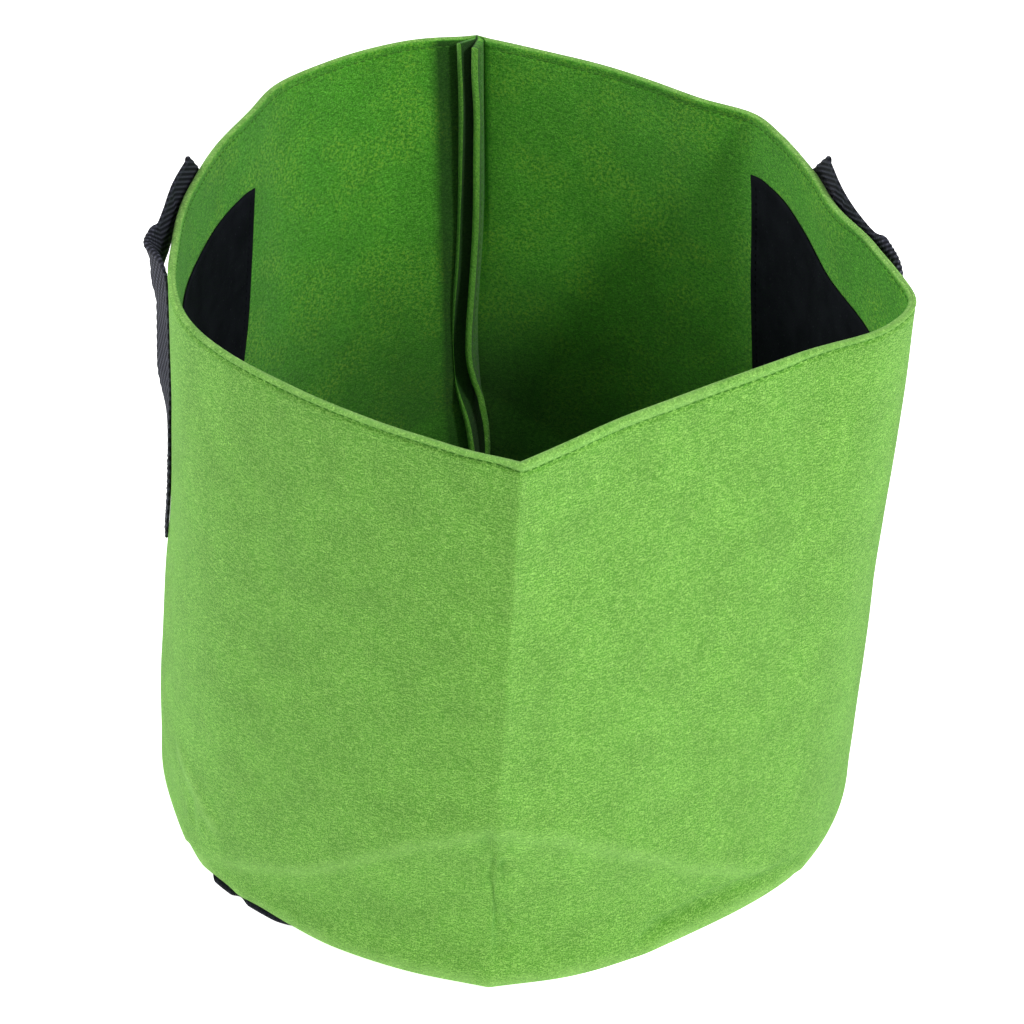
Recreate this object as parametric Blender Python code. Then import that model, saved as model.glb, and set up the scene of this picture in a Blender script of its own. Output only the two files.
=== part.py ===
"""Fabric grow bag: a felt tube with a back seam, a felt base disc and two webbing handles.

Metres, +Z up. The origin is on the floor under the middle of the base. The front fold crease points
to -Y, the back seam is at +Y, and the handles are on the outside at -X (left) and +X (right).
The wall is drawn by a place, from 0 at the back seam, over 0.25 at the left and 0.5 at the front
crease, to 1 at the back seam again, and by a height above the floor.
"""

import math

import bmesh
import bpy
import numpy as np
from mathutils import Matrix, Vector

# Driving dimensions
BAG_HEIGHT = 0.300
FELT = 0.0035  # thickness of the wall and of the base
WEBBING = 0.0016  # thickness of the handle strap
WEBBING_WIDTH = 0.025
PATCH_FELT = 0.0012  # thickness of the backing patches
THREAD_RADIUS = 0.00035
CLEARANCE = 0.0003  # between faces that touch on the real bag
CURVED_CLEARANCE = 0.0011  # the same, between curved faces on the hollow side of the wall

# Outer edge of the rim seen from above, from the back seam over the left to the front crease
RIM_LEFT = (
    (-0.012, 0.203),
    (-0.050, 0.198),
    (-0.090, 0.177),
    (-0.113, 0.153),
    (-0.124, 0.125),
    (-0.137, 0.090),
    (-0.147, 0.045),
    (-0.151, 0.000),
    (-0.148, -0.045),
    (-0.138, -0.075),
    (-0.120, -0.103),
    (-0.090, -0.130),
    (-0.050, -0.155),
    (0.010, -0.184),
)
# The same edge from the front crease over the right, back to the seam
RIM_RIGHT = (
    (0.010, -0.184),
    (0.050, -0.156),
    (0.085, -0.132),
    (0.130, -0.105),
    (0.170, -0.082),
    (0.184, -0.060),
    (0.172, -0.010),
    (0.156, 0.030),
    (0.148, 0.064),
    (0.137, 0.099),
    (0.127, 0.119),
    (0.100, 0.137),
    (0.060, 0.166),
    (-0.012, 0.203),
)
# The wall's outline just above the floor, as (angle in degrees, radius)
FOOT_LEFT = (
    (93.4, 0.1770),
    (125, 0.1770),
    (160, 0.1775),
    (198, 0.1780),
    (215, 0.1795),
    (237, 0.1755),
    (255, 0.1775),
    (268.5, 0.1830),
)
FOOT_RIGHT = (
    (268.5, 0.1830),
    (282, 0.1787),
    (302, 0.1742),
    (326, 0.1810),
    (345, 0.1815),
    (375, 0.1790),
    (415, 0.1770),
    (453.4, 0.1770),
)

# Foot of the wall: the sheet rolls under and lies on the edge of the base
FOOT_TURN = 0.014  # how far it reaches in over the base
FOOT_ROLL_START = 0.020  # height at which the wall is plain again
BASE_INSET = 0.0095  # from the wall's outer face to the edge of the base

# Back seam: both ends of the sheet stand inwards
SEAM_DEPTH = 0.013
SEAM_GAP_ROOT = 0.0007
SEAM_GAP_TIP = 0.0040
SEAM_MIDDLE = 0.55  # share of the depth at which the two allowances start to part
SEAM_ROUNDING = 0.0006  # of the outer face where it turns into the seam
SEAM_LOWEST = 0.0043
SEAM_STITCH_DEPTH = 0.0075
SEAM_STITCH_HEIGHTS = (0.010, 0.060, 0.120, 0.180, 0.240, 0.296)
SEAM_STITCH_CLEARANCE = 0.0006  # more than elsewhere, for the allowance's slant

# Handles
PLACE_LEFT = 0.2290  # middle of the left handle, and mirrored on the right
WALL_LENGTH = 1.104  # round the bag, turns a length along the wall into a place
GRIP_GAP = 0.060  # clear between the legs
LEG_LOW = 0.149
LEG_TOP = 0.200  # the strap is sewn down below this height
LOOP_TOP = 0.308
LOOP_STAND_OFF = 0.0065  # inner face of the loop to the wall, along its top
LOOP_EASE = 0.006  # over which the strap's inner edge is bent at a top corner
HINGE_GAP = 0.0005
BOX_INSET = 0.0030  # the box stitch from the strap's edges
BOX_CORNER = 0.0015  # the box stitch's corners are cut off by this
BOX_CLEARANCE = 0.0004

# Backing patches inside, behind the handles
PATCH_REAR = -0.090  # edges, from the handle's middle towards the front
PATCH_FRONT = 0.063
PATCH_HEIGHT = 0.134
PATCH_TOP = {"left": 0.2575, "right": 0.2620}
PATCH_COLUMNS = 17
PATCH_ROWS = 5
PATCH_STITCH_INSET = 0.0045
PATCH_STITCH_CORNER = 0.002

# Stitches of the rim and of the turned-in foot
RIM_STITCH_BELOW = 0.0050
RIM_STITCH_START = 0.010  # from the back seam
FOOT_STITCH_INSET = 0.01125

# Mesh fineness
WALL_STEPS = 30  # along each half of the wall
CURVE_STEPS = 24  # between two points of an outline
THREAD_SIDES = 5
SHARP_ANGLE = math.radians(35)

GREEN = (0.205, 0.445, 0.078, 1)
BLACK_FELT = (0.012, 0.014, 0.018, 1)
BLACK_WEB = (0.014, 0.016, 0.022, 1)
GREEN_THREAD = (0.150, 0.360, 0.060, 1)
BLACK_THREAD = (0.010, 0.010, 0.012, 1)


def clear_scene():
    for thing in list(bpy.data.objects):
        bpy.data.objects.remove(thing)


def material(name, colour, roughness):
    made = bpy.data.materials.new(name)
    made.use_nodes = True
    shader = made.node_tree.nodes["Principled BSDF"]
    shader.inputs["Base Color"].default_value = colour
    shader.inputs["Roughness"].default_value = roughness
    shader.inputs["Metallic"].default_value = 0
    return made


# ---------------------------------------------------------------- outlines


def smooth_curve(points):
    """A dense polyline through the points, with straight-ended tangents at both ends."""
    p = np.array(points, float)
    gaps = np.linalg.norm(np.diff(p, axis=0), axis=1)
    slope = np.diff(p, axis=0) / gaps[:, None]
    tangent = np.empty_like(p)
    tangent[0] = slope[0]
    tangent[-1] = slope[-1]
    before = gaps[:-1, None]
    after = gaps[1:, None]
    tangent[1:-1] = (slope[:-1] * after + slope[1:] * before) / (before + after)
    line = []
    for i, gap in enumerate(gaps):
        for t in np.arange(CURVE_STEPS) / CURVE_STEPS:
            line.append(
                (2 * t**3 - 3 * t**2 + 1) * p[i]
                + (t**3 - 2 * t**2 + t) * gap * tangent[i]
                + (3 * t**2 - 2 * t**3) * p[i + 1]
                + (t**3 - t**2) * gap * tangent[i + 1]
            )
    line.append(p[-1])
    return np.array(line)


def polar(points):
    """(x, y) of points given as (angle in degrees, radius)."""
    return [(r * math.cos(math.radians(a)), r * math.sin(math.radians(a))) for a, r in points]


def along(line, share):
    """The point at that share of a polyline's length."""
    steps = np.linalg.norm(np.diff(line, axis=0), axis=1)
    length = np.concatenate([[0], np.cumsum(steps)])
    return np.array([np.interp(share * length[-1], length, line[:, k]) for k in (0, 1)])


RIM = (smooth_curve(RIM_LEFT), smooth_curve(RIM_RIGHT))
FOOT = (smooth_curve(polar(FOOT_LEFT)), smooth_curve(polar(FOOT_RIGHT)))


def outline(halves, place):
    """The point of a closed outline, in two halves, at a place from 0 to 1."""
    if place <= 0.5:
        return along(halves[0], place * 2)
    return along(halves[1], place * 2 - 1)


def wall_point(place, height):
    """(x, y) of the wall's outer face."""
    rise = min(height / BAG_HEIGHT, 1)
    return outline(FOOT, place) * (1 - rise) + outline(RIM, place) * rise


def wall_outward(place, height):
    """The level direction that points out of the wall."""
    step = 0.002
    ahead = wall_point(min(place + step, 1), height)
    behind = wall_point(max(place - step, 0), height)
    run = ahead - behind
    out = np.array([-run[1], run[0]]) / np.linalg.norm(run)
    return out if np.dot(out, wall_point(place, height)) > 0 else -out


def off_wall(place, height, distance):
    """A point that far outside the wall's outer face, or inside it where distance is negative."""
    plan = wall_point(place, height) + wall_outward(place, height) * distance
    return Vector((plan[0], plan[1], height))


# ---------------------------------------------------------------- solids


def add_object(name, mesh_builder, finish):
    """Makes the named object from a bmesh, with its faces pointing out."""
    bmesh.ops.recalc_face_normals(mesh_builder, faces=mesh_builder.faces)
    if mesh_builder.calc_volume(signed=True) < 0:
        bmesh.ops.reverse_faces(mesh_builder, faces=mesh_builder.faces)
    mesh = bpy.data.meshes.new(name)
    mesh_builder.to_mesh(mesh)
    mesh_builder.free()
    mesh.shade_smooth()
    mesh.set_sharp_from_angle(angle=SHARP_ANGLE)
    mesh.materials.append(finish)
    thing = bpy.data.objects.new(name, mesh)
    bpy.context.scene.collection.objects.link(thing)
    return thing


def grid_faces(bm, grid):
    for row, above in zip(grid, grid[1:]):
        for i in range(len(row) - 1):
            bm.faces.new((row[i], row[i + 1], above[i + 1], above[i]))


def sheet_solid(name, front, back, finish):
    """A closed sheet between two grids of points, front[row][column] and back[row][column]."""
    bm = bmesh.new()
    near = [[bm.verts.new(p) for p in row] for row in front]
    far = [[bm.verts.new(p) for p in row] for row in back]
    grid_faces(bm, near)
    grid_faces(bm, far)
    for edge in (0, -1):
        grid_faces(bm, [near[edge], far[edge]])
        grid_faces(bm, [[row[edge] for row in near], [row[edge] for row in far]])
    return add_object(name, bm, finish)


def thread(name, path, finish, closed=False):
    """A thin tube along the path."""
    path = [Vector(p) for p in path]
    bm = bmesh.new()
    rings = []
    count = len(path)
    for i, point in enumerate(path):
        ahead = path[(i + 1) % count] if closed else path[min(i + 1, count - 1)]
        behind = path[i - 1] if closed else path[max(i - 1, 0)]
        run = (ahead - behind).normalized()
        side = run.cross(Vector((0, 0, 1)))
        if side.length < 0.3:
            side = run.cross(Vector((0, 1, 0)))
        side.normalize()
        up = side.cross(run)
        turn = [2 * math.pi * k / THREAD_SIDES for k in range(THREAD_SIDES)]
        ring = [point + (side * math.cos(a) + up * math.sin(a)) * THREAD_RADIUS for a in turn]
        rings.append([bm.verts.new(p) for p in ring])
    pairs = list(zip(rings, rings[1:]))
    if closed:
        pairs.append((rings[-1], rings[0]))
    for ring, following in pairs:
        for k in range(THREAD_SIDES):
            n = (k + 1) % THREAD_SIDES
            bm.faces.new((ring[k], ring[n], following[n], following[k]))
    if not closed:
        bm.faces.new(rings[0])
        bm.faces.new(rings[-1])
    return add_object(name, bm, finish)


# ---------------------------------------------------------------- the felt wall and the base

# Rows of the wall's section from the foot's inner edge to the rim:
# (inset of the outer face, its height, inset of the inner face, its height)
FOOT_ROWS = (
    (FOOT_TURN, FELT + CLEARANCE, FOOT_TURN, 2 * FELT + CLEARANCE),
    (0.0092, FELT + CLEARANCE, 0.0092, 2 * FELT + CLEARANCE),
    (0.0064, 0.0018, 0.0058, 0.0076),
    (0.0040, 0.0005, 0.0048, 0.0082),
    (0.0016, 0.0009, 0.0042, 0.0090),
    (0.0003, 0.0030, 0.0037, 0.0104),
    (0.0000, 0.0080, FELT, 0.0130),
    (0.0000, FOOT_ROLL_START, FELT, FOOT_ROLL_START),
)
WALL_HEIGHTS = (0.050, 0.095, 0.150, 0.200, 0.250, 0.2985)
RIM_ROUNDING = 0.0012
SEAM_CLEAR = 0.022  # the turned-in foot stops this far from the back seam
FADED_LOW = 0.0006  # lowest height of the wall where the foot is not turned in
FADED_INSET = 0.0003  # and how much each lower row of it is inset


def section_rows(place):
    """The wall's section at a place, with the turned-in foot fading out beside the back seam."""
    from_seam = min(place, 1 - place) * WALL_LENGTH
    fade = min(max((from_seam - SEAM_CLEAR) / SEAM_CLEAR, 0), 1)
    lift = min(max(from_seam / SEAM_CLEAR - 0.4, 0) * 2, 1)
    rows = []
    for index, (out_inset, out_height, in_inset, in_height) in enumerate(FOOT_ROWS):
        plain_out = FADED_INSET * (len(FOOT_ROWS) - 1 - index)
        plain_height = FADED_LOW + (FOOT_ROLL_START - FADED_LOW) * index / (len(FOOT_ROWS) - 1)
        rows.append(
            (
                out_inset * fade + plain_out * (1 - fade),
                out_height * lift + plain_height * (1 - lift),
                in_inset * fade + FELT * (1 - fade),
                in_height * lift + plain_height * (1 - lift),
            )
        )
    rows += [(0, height, FELT, height) for height in WALL_HEIGHTS]
    rows.append((RIM_ROUNDING, BAG_HEIGHT, FELT - RIM_ROUNDING, BAG_HEIGHT))
    return rows


def wall_places():
    """Places of the wall's columns, from one side of the back seam to the other."""
    start = (SEAM_GAP_ROOT / 2 + FELT + 0.003) / WALL_LENGTH
    half = [start + (0.5 - start) * i / WALL_STEPS for i in range(WALL_STEPS + 1)]
    return half + [1 - p for p in reversed(half[:-1])]


def seam_frame(height):
    """The back seam's point on the outer face, the way in, and the way to the left."""
    inward = Vector((0.02, -1, 0)).normalized()
    seam = wall_point(0, height)
    return Vector((seam[0], seam[1], height)), inward, Vector((inward.y, -inward.x, 0))


def seam_columns(side):
    """Columns of one seam allowance, from its tip to the wall: lists of (outer face, inner face)."""
    heights = [row[1] for row in section_rows(0)]
    lowest = heights[0]
    rise = (BAG_HEIGHT - SEAM_LOWEST) / (BAG_HEIGHT - lowest)
    columns = []
    for depth, gap, round_off in (
        (SEAM_DEPTH, SEAM_GAP_TIP, False),
        (SEAM_DEPTH * SEAM_MIDDLE, (SEAM_GAP_ROOT + SEAM_GAP_TIP) / 2, False),
        (FELT, SEAM_GAP_ROOT, True),
    ):
        column = []
        for height in heights:
            raised = SEAM_LOWEST + (height - lowest) * rise
            seam, inward, left = seam_frame(raised)
            aside = left * side
            outer_depth = SEAM_ROUNDING if round_off else depth
            outer = seam + inward * outer_depth + aside * (gap / 2)
            inner = seam + inward * depth + aside * (gap / 2 + FELT)
            column.append((outer, inner))
        columns.append(column)
    return columns


def build_wall(finish):
    columns = seam_columns(1)
    for place in wall_places():
        columns.append(
            [
                (off_wall(place, out_h, -out_in), off_wall(place, in_h, -in_in))
                for out_in, out_h, in_in, in_h in section_rows(place)
            ]
        )
    columns += reversed(seam_columns(-1))
    rows = range(len(columns[0]))
    outer = [[column[row][0] for column in columns] for row in rows]
    inner = [[column[row][1] for column in columns] for row in rows]
    return sheet_solid("wall_panel", outer, inner, finish)


def build_base(finish):
    """The flat base disc, which follows the wall's foot."""
    bm = bmesh.new()
    places = [i / (WALL_STEPS * 2) for i in range(WALL_STEPS * 2)]
    rings = []
    for height in (0, FELT):
        ring = []
        for place in places:
            point = off_wall(place, 0, -BASE_INSET)
            ring.append(bm.verts.new((point.x, point.y, height)))
        rings.append(ring)
    bm.faces.new(rings[0])
    bm.faces.new(rings[1])
    for i in range(len(places)):
        n = (i + 1) % len(places)
        bm.faces.new((rings[0][i], rings[0][n], rings[1][n], rings[1][i]))
    bmesh.ops.triangulate(bm, faces=[f for f in bm.faces if len(f.verts) > 4])
    return add_object("base_panel", bm, finish)


def build_wall_threads(finish):
    above_face = CLEARANCE + THREAD_RADIUS
    near_seam = RIM_STITCH_START / WALL_LENGTH
    steps = WALL_STEPS * 2
    ring = [near_seam + (1 - 2 * near_seam) * i / steps for i in range(steps + 1)]
    rim_height = BAG_HEIGHT - RIM_STITCH_BELOW
    thread("rim_topstitch", [off_wall(p, rim_height, above_face) for p in ring], finish)
    turn = 2 * SEAM_CLEAR / WALL_LENGTH
    foot = [turn + (1 - 2 * turn) * i / steps for i in range(steps + 1)]
    lift = 2 * FELT + CLEARANCE + above_face
    path = []
    for place in foot:
        point = off_wall(place, 0, -FOOT_STITCH_INSET)
        path.append((point.x, point.y, lift))
    thread("base_seam_stitch", path, finish)
    half_gap = (SEAM_GAP_ROOT + SEAM_GAP_TIP) / 4
    aside = half_gap + FELT + SEAM_STITCH_CLEARANCE + THREAD_RADIUS
    for name, side in (("back_seam_needle_thread", 1), ("back_seam_bobbin_thread", -1)):
        path = []
        for height in SEAM_STITCH_HEIGHTS:
            seam, inward, left = seam_frame(height)
            path.append(seam + inward * SEAM_STITCH_DEPTH + left * (side * aside))
        thread(name, path, finish)


# ---------------------------------------------------------------- the handles


def handle_place(side, distance):
    """Place on the wall at a distance from the handle's middle, positive towards the front."""
    place = PLACE_LEFT + distance / WALL_LENGTH
    return place if side == "left" else 1 - place


def strap_face(side, distance, height, lift):
    return off_wall(handle_place(side, distance), height, lift)


LEG_MIDDLE = (GRIP_GAP + WEBBING_WIDTH) / 2
LEG_FACE = CLEARANCE  # the strap's inner face above the wall


def build_leg(side, end, finish, thread_finish):
    """One sewn-down end of the strap, and the box of stitches that holds it."""
    middle = LEG_MIDDLE if end == "front" else -LEG_MIDDLE
    across = [middle + WEBBING_WIDTH * (i / 4 - 0.5) for i in range(5)]
    heights = [LEG_LOW + (LEG_TOP - HINGE_GAP - LEG_LOW) * i / 2 for i in range(3)]
    inner = [[strap_face(side, d, h, LEG_FACE) for d in across] for h in heights]
    outer = [[strap_face(side, d, h, LEG_FACE + WEBBING) for d in across] for h in heights]
    sheet_solid(f"{side}_handle_{end}_leg", inner, outer, finish)

    lift = LEG_FACE + WEBBING + BOX_CLEARANCE + THREAD_RADIUS
    low = LEG_LOW + BOX_INSET
    high = LEG_TOP - 2 * BOX_INSET
    half = WEBBING_WIDTH / 2 - BOX_INSET
    corner = BOX_CORNER
    sides = (
        [(-half + corner + (half - corner) * i, low) for i in range(3)]
        + [(half, low + corner), (half, (low + high) / 2), (half, high - corner)]
        + [(half - corner - (half - corner) * i, high) for i in range(3)]
        + [(-half, high - corner), (-half, (low + high) / 2), (-half, low + corner)]
    )
    path = [strap_face(side, middle + d, h, lift) for d, h in sides]
    thread(f"{side}_{end}_box_stitch", path, thread_finish, closed=True)


def loop_stations():
    """Rows across the loop's strap as (outer edge, inner edge), each (distance, height).
    The strap is folded over at its two top corners, which cuts them off at 45 degrees."""
    outer = LEG_MIDDLE + WEBBING_WIDTH / 2
    inner = GRIP_GAP / 2
    low = LEG_TOP + HINGE_GAP
    bend = LOOP_TOP - WEBBING_WIDTH
    ease = LOOP_EASE
    rear = [((-outer, h), (-inner, h)) for h in np.linspace(low, bend - ease, 5)]
    middle = (outer + inner) / 2
    rear.append(((-outer, bend), (-inner, bend - ease * 0.5)))
    rear.append(((-middle, bend + WEBBING_WIDTH / 2), (-inner + ease * 0.3, bend - ease * 0.2)))
    rear.append(((-inner, LOOP_TOP), (-inner + ease, bend)))
    top = [((d, LOOP_TOP), (d, bend)) for d in (-inner / 2, 0)]
    half = rear + top
    front = [((-a[0], a[1]), (-b[0], b[1])) for a, b in reversed(half[:-1])]
    return half + front


def stand_off(height):
    """The loop's distance from the wall, which grows from its sewn ends to its top."""
    share = min(max((height - LEG_TOP) / (LOOP_TOP - WEBBING_WIDTH - LEG_TOP), 0), 1)
    return LEG_FACE + (LOOP_STAND_OFF - LEG_FACE) * share * share * (3 - 2 * share)


def hinge_line(side):
    """A point on the loop's hinge line and the line's direction, just outside both sewn legs."""
    ends = []
    for distance in (-LEG_MIDDLE, LEG_MIDDLE):
        ends.append(strap_face(side, distance, LEG_TOP, LEG_FACE + WEBBING))
    direction = (ends[1] - ends[0]).normalized()
    outward = Vector((direction.y, -direction.x, 0))
    if outward.dot(Vector((ends[0].x, 0, 0))) < 0:
        outward = -outward
    middle = (ends[0] + ends[1]) / 2
    reach = max(
        (strap_face(side, d, LEG_TOP, LEG_FACE + WEBBING) - middle).dot(outward)
        for edge in (-1, 1)
        for d in (edge * GRIP_GAP / 2, edge * (GRIP_GAP / 2 + WEBBING_WIDTH))
    )
    return middle + outward * (reach + HINGE_GAP), direction


def build_loop(side, finish):
    stations = loop_stations()
    shares = (0, 0.5, 1)
    faces = []
    for thickness in (0, WEBBING):
        rows = []
        for outer, inner in stations:
            row = []
            for share in shares:
                distance = outer[0] + (inner[0] - outer[0]) * share
                height = outer[1] + (inner[1] - outer[1]) * share
                shown = min(height, BAG_HEIGHT)
                point = strap_face(side, distance, shown, stand_off(height) + thickness)
                row.append(Vector((point.x, point.y, height)))
            rows.append(row)
        faces.append(rows)
    loop = sheet_solid(f"{side}_handle_loop", faces[0], faces[1], finish)
    pivot, direction = hinge_line(side)
    loop.data.transform(Matrix.Translation(-pivot))
    loop.location = pivot
    return loop


# ---------------------------------------------------------------- the backing patches


def build_patch(side, finish, thread_finish):
    """A patch of fabric on the inner face of the wall, and the row of stitches along its edges."""
    top = PATCH_TOP[side]
    columns = np.linspace(PATCH_REAR, PATCH_FRONT, PATCH_COLUMNS)
    rows = np.linspace(top, top - PATCH_HEIGHT, PATCH_ROWS)
    near = -(FELT + CURVED_CLEARANCE)
    far = near - PATCH_FELT
    outer = [[strap_face(side, d, h, near) for d in columns] for h in rows]
    inner = [[strap_face(side, d, h, far) for d in columns] for h in rows]
    sheet_solid(f"{side}_backing_patch", outer, inner, finish)

    lift = far - CURVED_CLEARANCE - THREAD_RADIUS
    rear = PATCH_REAR + PATCH_STITCH_INSET
    front = PATCH_FRONT - PATCH_STITCH_INSET
    high = top - PATCH_STITCH_INSET
    low = top - PATCH_HEIGHT + PATCH_STITCH_INSET
    ease = PATCH_STITCH_CORNER
    across = list(np.linspace(rear + ease, front - ease, 14))
    rising = [low + ease, (low + high) / 2, high - ease]
    sides = (
        [(d, low) for d in across]
        + [(front, h) for h in rising]
        + [(d, high) for d in reversed(across)]
        + [(rear, h) for h in reversed(rising)]
    )
    path = [strap_face(side, d, h, lift) for d, h in sides]
    thread(f"{side}_patch_stitch", path, thread_finish, closed=True)


def main():
    clear_scene()
    green_felt = material("green_felt", GREEN, 0.95)
    black_felt = material("black_felt", BLACK_FELT, 0.92)
    webbing = material("black_webbing", BLACK_WEB, 0.75)
    green_thread = material("green_thread", GREEN_THREAD, 0.7)
    black_thread = material("black_thread", BLACK_THREAD, 0.7)
    build_wall(green_felt)
    build_base(black_felt)
    build_wall_threads(green_thread)
    for side in ("left", "right"):
        build_patch(side, black_felt, black_thread)
        for end in ("front", "rear"):
            build_leg(side, end, webbing, black_thread)
        build_loop(side, webbing)


main()
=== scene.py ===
"""Looks of the fabric grow bag: felt wall with its folds, hem and back seam, black base, webbing
handles, backing patches and stitches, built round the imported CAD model.

Metres, +Z up. The wall is drawn by a place, from 0 at the back seam, over 0.25 at the left and 0.5
at the front crease, to 1 at the back seam again, and by a height above the floor. A shift is a
length along the wall from the front crease, positive to the right.
"""

import math

import bmesh
import bpy
import numpy as np
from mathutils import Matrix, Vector


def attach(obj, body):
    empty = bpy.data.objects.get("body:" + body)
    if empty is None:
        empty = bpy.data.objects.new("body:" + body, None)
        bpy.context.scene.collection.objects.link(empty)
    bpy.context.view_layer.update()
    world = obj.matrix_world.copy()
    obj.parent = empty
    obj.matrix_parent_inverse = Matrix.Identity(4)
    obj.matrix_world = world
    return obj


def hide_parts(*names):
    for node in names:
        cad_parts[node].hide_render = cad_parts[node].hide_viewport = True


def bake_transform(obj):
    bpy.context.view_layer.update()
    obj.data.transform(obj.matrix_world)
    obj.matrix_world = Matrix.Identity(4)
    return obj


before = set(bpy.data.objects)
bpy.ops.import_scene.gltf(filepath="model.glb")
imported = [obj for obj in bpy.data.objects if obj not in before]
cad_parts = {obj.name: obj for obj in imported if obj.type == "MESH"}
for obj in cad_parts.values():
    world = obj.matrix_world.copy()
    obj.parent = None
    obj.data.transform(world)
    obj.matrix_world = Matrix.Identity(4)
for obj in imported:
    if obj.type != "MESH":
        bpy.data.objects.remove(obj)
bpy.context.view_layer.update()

# ---------------------------------------------------------------- driving dimensions

BAG_HEIGHT = 0.300
FELT = 0.0035
WEBBING = 0.0016
WEBBING_WIDTH = 0.025
WALL_LENGTH = 1.104
PLACE_LEFT = 0.2290  # of the left handle's middle; the right handle mirrors it
GRIP_GAP = 0.060
LEG_LOW = 0.150
LEG_TOP = 0.200
LOOP_TOP = 0.308
RIM_STITCH_BELOW = 0.0046
PATCH_HEIGHT = 0.134

# Outer outline at the rim, as (x, y) from the back seam to the front crease and back
RIM_LEFT = (
    (-0.012, 0.203), (-0.050, 0.198), (-0.090, 0.177), (-0.113, 0.153), (-0.124, 0.125),
    (-0.137, 0.090), (-0.147, 0.045), (-0.151, 0.000), (-0.148, -0.045), (-0.138, -0.075),
    (-0.120, -0.103), (-0.090, -0.130), (-0.050, -0.155), (0.010, -0.184),
)
RIM_RIGHT = (
    (0.010, -0.184), (0.050, -0.156), (0.085, -0.132), (0.130, -0.105), (0.170, -0.082),
    (0.184, -0.060), (0.172, -0.010), (0.156, 0.030), (0.148, 0.064), (0.137, 0.099),
    (0.127, 0.119), (0.100, 0.137), (0.060, 0.166), (-0.012, 0.203),
)
# Outer outline at the floor, as (angle in degrees, radius)
FOOT_LEFT = (
    (93.4, 0.1770), (125, 0.1770), (160, 0.1775), (198, 0.1780), (215, 0.1795), (237, 0.1755),
    (255, 0.1775), (268.5, 0.1830),
)
FOOT_RIGHT = (
    (268.5, 0.1830), (282, 0.1787), (302, 0.1742), (326, 0.1810), (345, 0.1815), (375, 0.1790),
    (415, 0.1770), (453.4, 0.1770),
)


def smooth_curve(points, steps=24):
    """A dense polyline through the points, with straight-ended tangents at both ends."""
    p = np.array(points, float)
    gaps = np.linalg.norm(np.diff(p, axis=0), axis=1)
    slope = np.diff(p, axis=0) / gaps[:, None]
    before = gaps[:-1, None]
    after = gaps[1:, None]
    inner = (slope[:-1] * after + slope[1:] * before) / (before + after)
    tangent = np.concatenate([slope[:1], inner, slope[-1:]])
    line = []
    for i, gap in enumerate(gaps):
        for t in np.arange(steps) / steps:
            line.append(
                (2 * t**3 - 3 * t**2 + 1) * p[i]
                + (t**3 - 2 * t**2 + t) * gap * tangent[i]
                + (3 * t**2 - 2 * t**3) * p[i + 1]
                + (t**3 - t**2) * gap * tangent[i + 1]
            )
    line.append(p[-1])
    return np.array(line)


def polar(points):
    return [(r * math.cos(math.radians(a)), r * math.sin(math.radians(a))) for a, r in points]


PLACES = np.linspace(0, 1, 4417)
SOFT_CREASE = 0.0016  # half the length over which the felt rounds off a sharp fold


def resample(at, length, points):
    """Points of a polyline at those lengths along it."""
    return np.stack([np.interp(at, length, points[:, axis]) for axis in range(points.shape[1])], -1)


def outline_table(left, right):
    """Points of the outline at PLACES, spaced evenly along each half."""
    table = np.zeros((len(PLACES), 2))
    for start, points in ((0, left), (0.5, right)):
        line = smooth_curve(points)
        lengths = np.linalg.norm(np.diff(line, axis=0), axis=1)
        lengths = np.concatenate([[0], np.cumsum(lengths)])
        chosen = (PLACES >= start) & (PLACES <= start + 0.5)
        share = (PLACES[chosen] - start) * 2 * lengths[-1]
        table[chosen] = resample(share, lengths, line)
    rounded = table.copy()
    reach = round(SOFT_CREASE / WALL_LENGTH * (len(PLACES) - 1))
    for offset in range(-reach, reach + 1):
        index = np.clip(np.arange(len(PLACES)) + offset, 0, len(PLACES) - 1)
        rounded += table[index]
    rounded = (rounded - table) / (2 * reach + 1)
    near_end = np.minimum(PLACES, 1 - PLACES) * WALL_LENGTH < 4 * SOFT_CREASE
    rounded[near_end] = table[near_end]
    return rounded


RIM = outline_table(RIM_LEFT, RIM_RIGHT)
FOOT = outline_table(polar(FOOT_LEFT), polar(FOOT_RIGHT))


def wall_plan(place, height):
    """(x, y) of the wall's outer face, for arrays of places and heights."""
    place, height = np.broadcast_arrays(np.asarray(place, float), np.asarray(height, float))
    rise = np.clip(height / BAG_HEIGHT, 0, 1)[..., None]
    return between(resample(place, PLACES, FOOT), resample(place, PLACES, RIM), rise)


def wall_outward(place, height):
    """The level direction that points out of the wall."""
    step = 0.002
    run = wall_plan(np.minimum(place + step, 1), height)
    run = run - wall_plan(np.maximum(place - step, 0), height)
    out = np.stack([-run[..., 1], run[..., 0]], -1)
    out /= np.linalg.norm(out, axis=-1, keepdims=True)
    facing = np.sign((out * wall_plan(place, height)).sum(-1, keepdims=True))
    return out * facing


# ---------------------------------------------------------------- small maths


def smoothstep(low, high, value):
    t = np.clip((value - low) / (high - low), 0, 1)
    return t * t * (3 - 2 * t)


def between(low, high, share):
    """The low value where the share is 0, the high one where it is 1."""
    return low * (1 - share) + high * share


def bump(value, centre, width):
    """1 at the centre, falling smoothly to 0 about two widths away."""
    return np.exp(-(((value - centre) / width) ** 2))


def segment_distance(x, y, start, end):
    """Distance from (x, y) to a segment, and how far along it the nearest point is, 0 to 1."""
    ax, ay = start
    dx = end[0] - ax
    dy = end[1] - ay
    t = np.clip(((x - ax) * dx + (y - ay) * dy) / (dx * dx + dy * dy), 0, 1)
    return np.hypot(x - ax - t * dx, y - ay - t * dy), t


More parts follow.
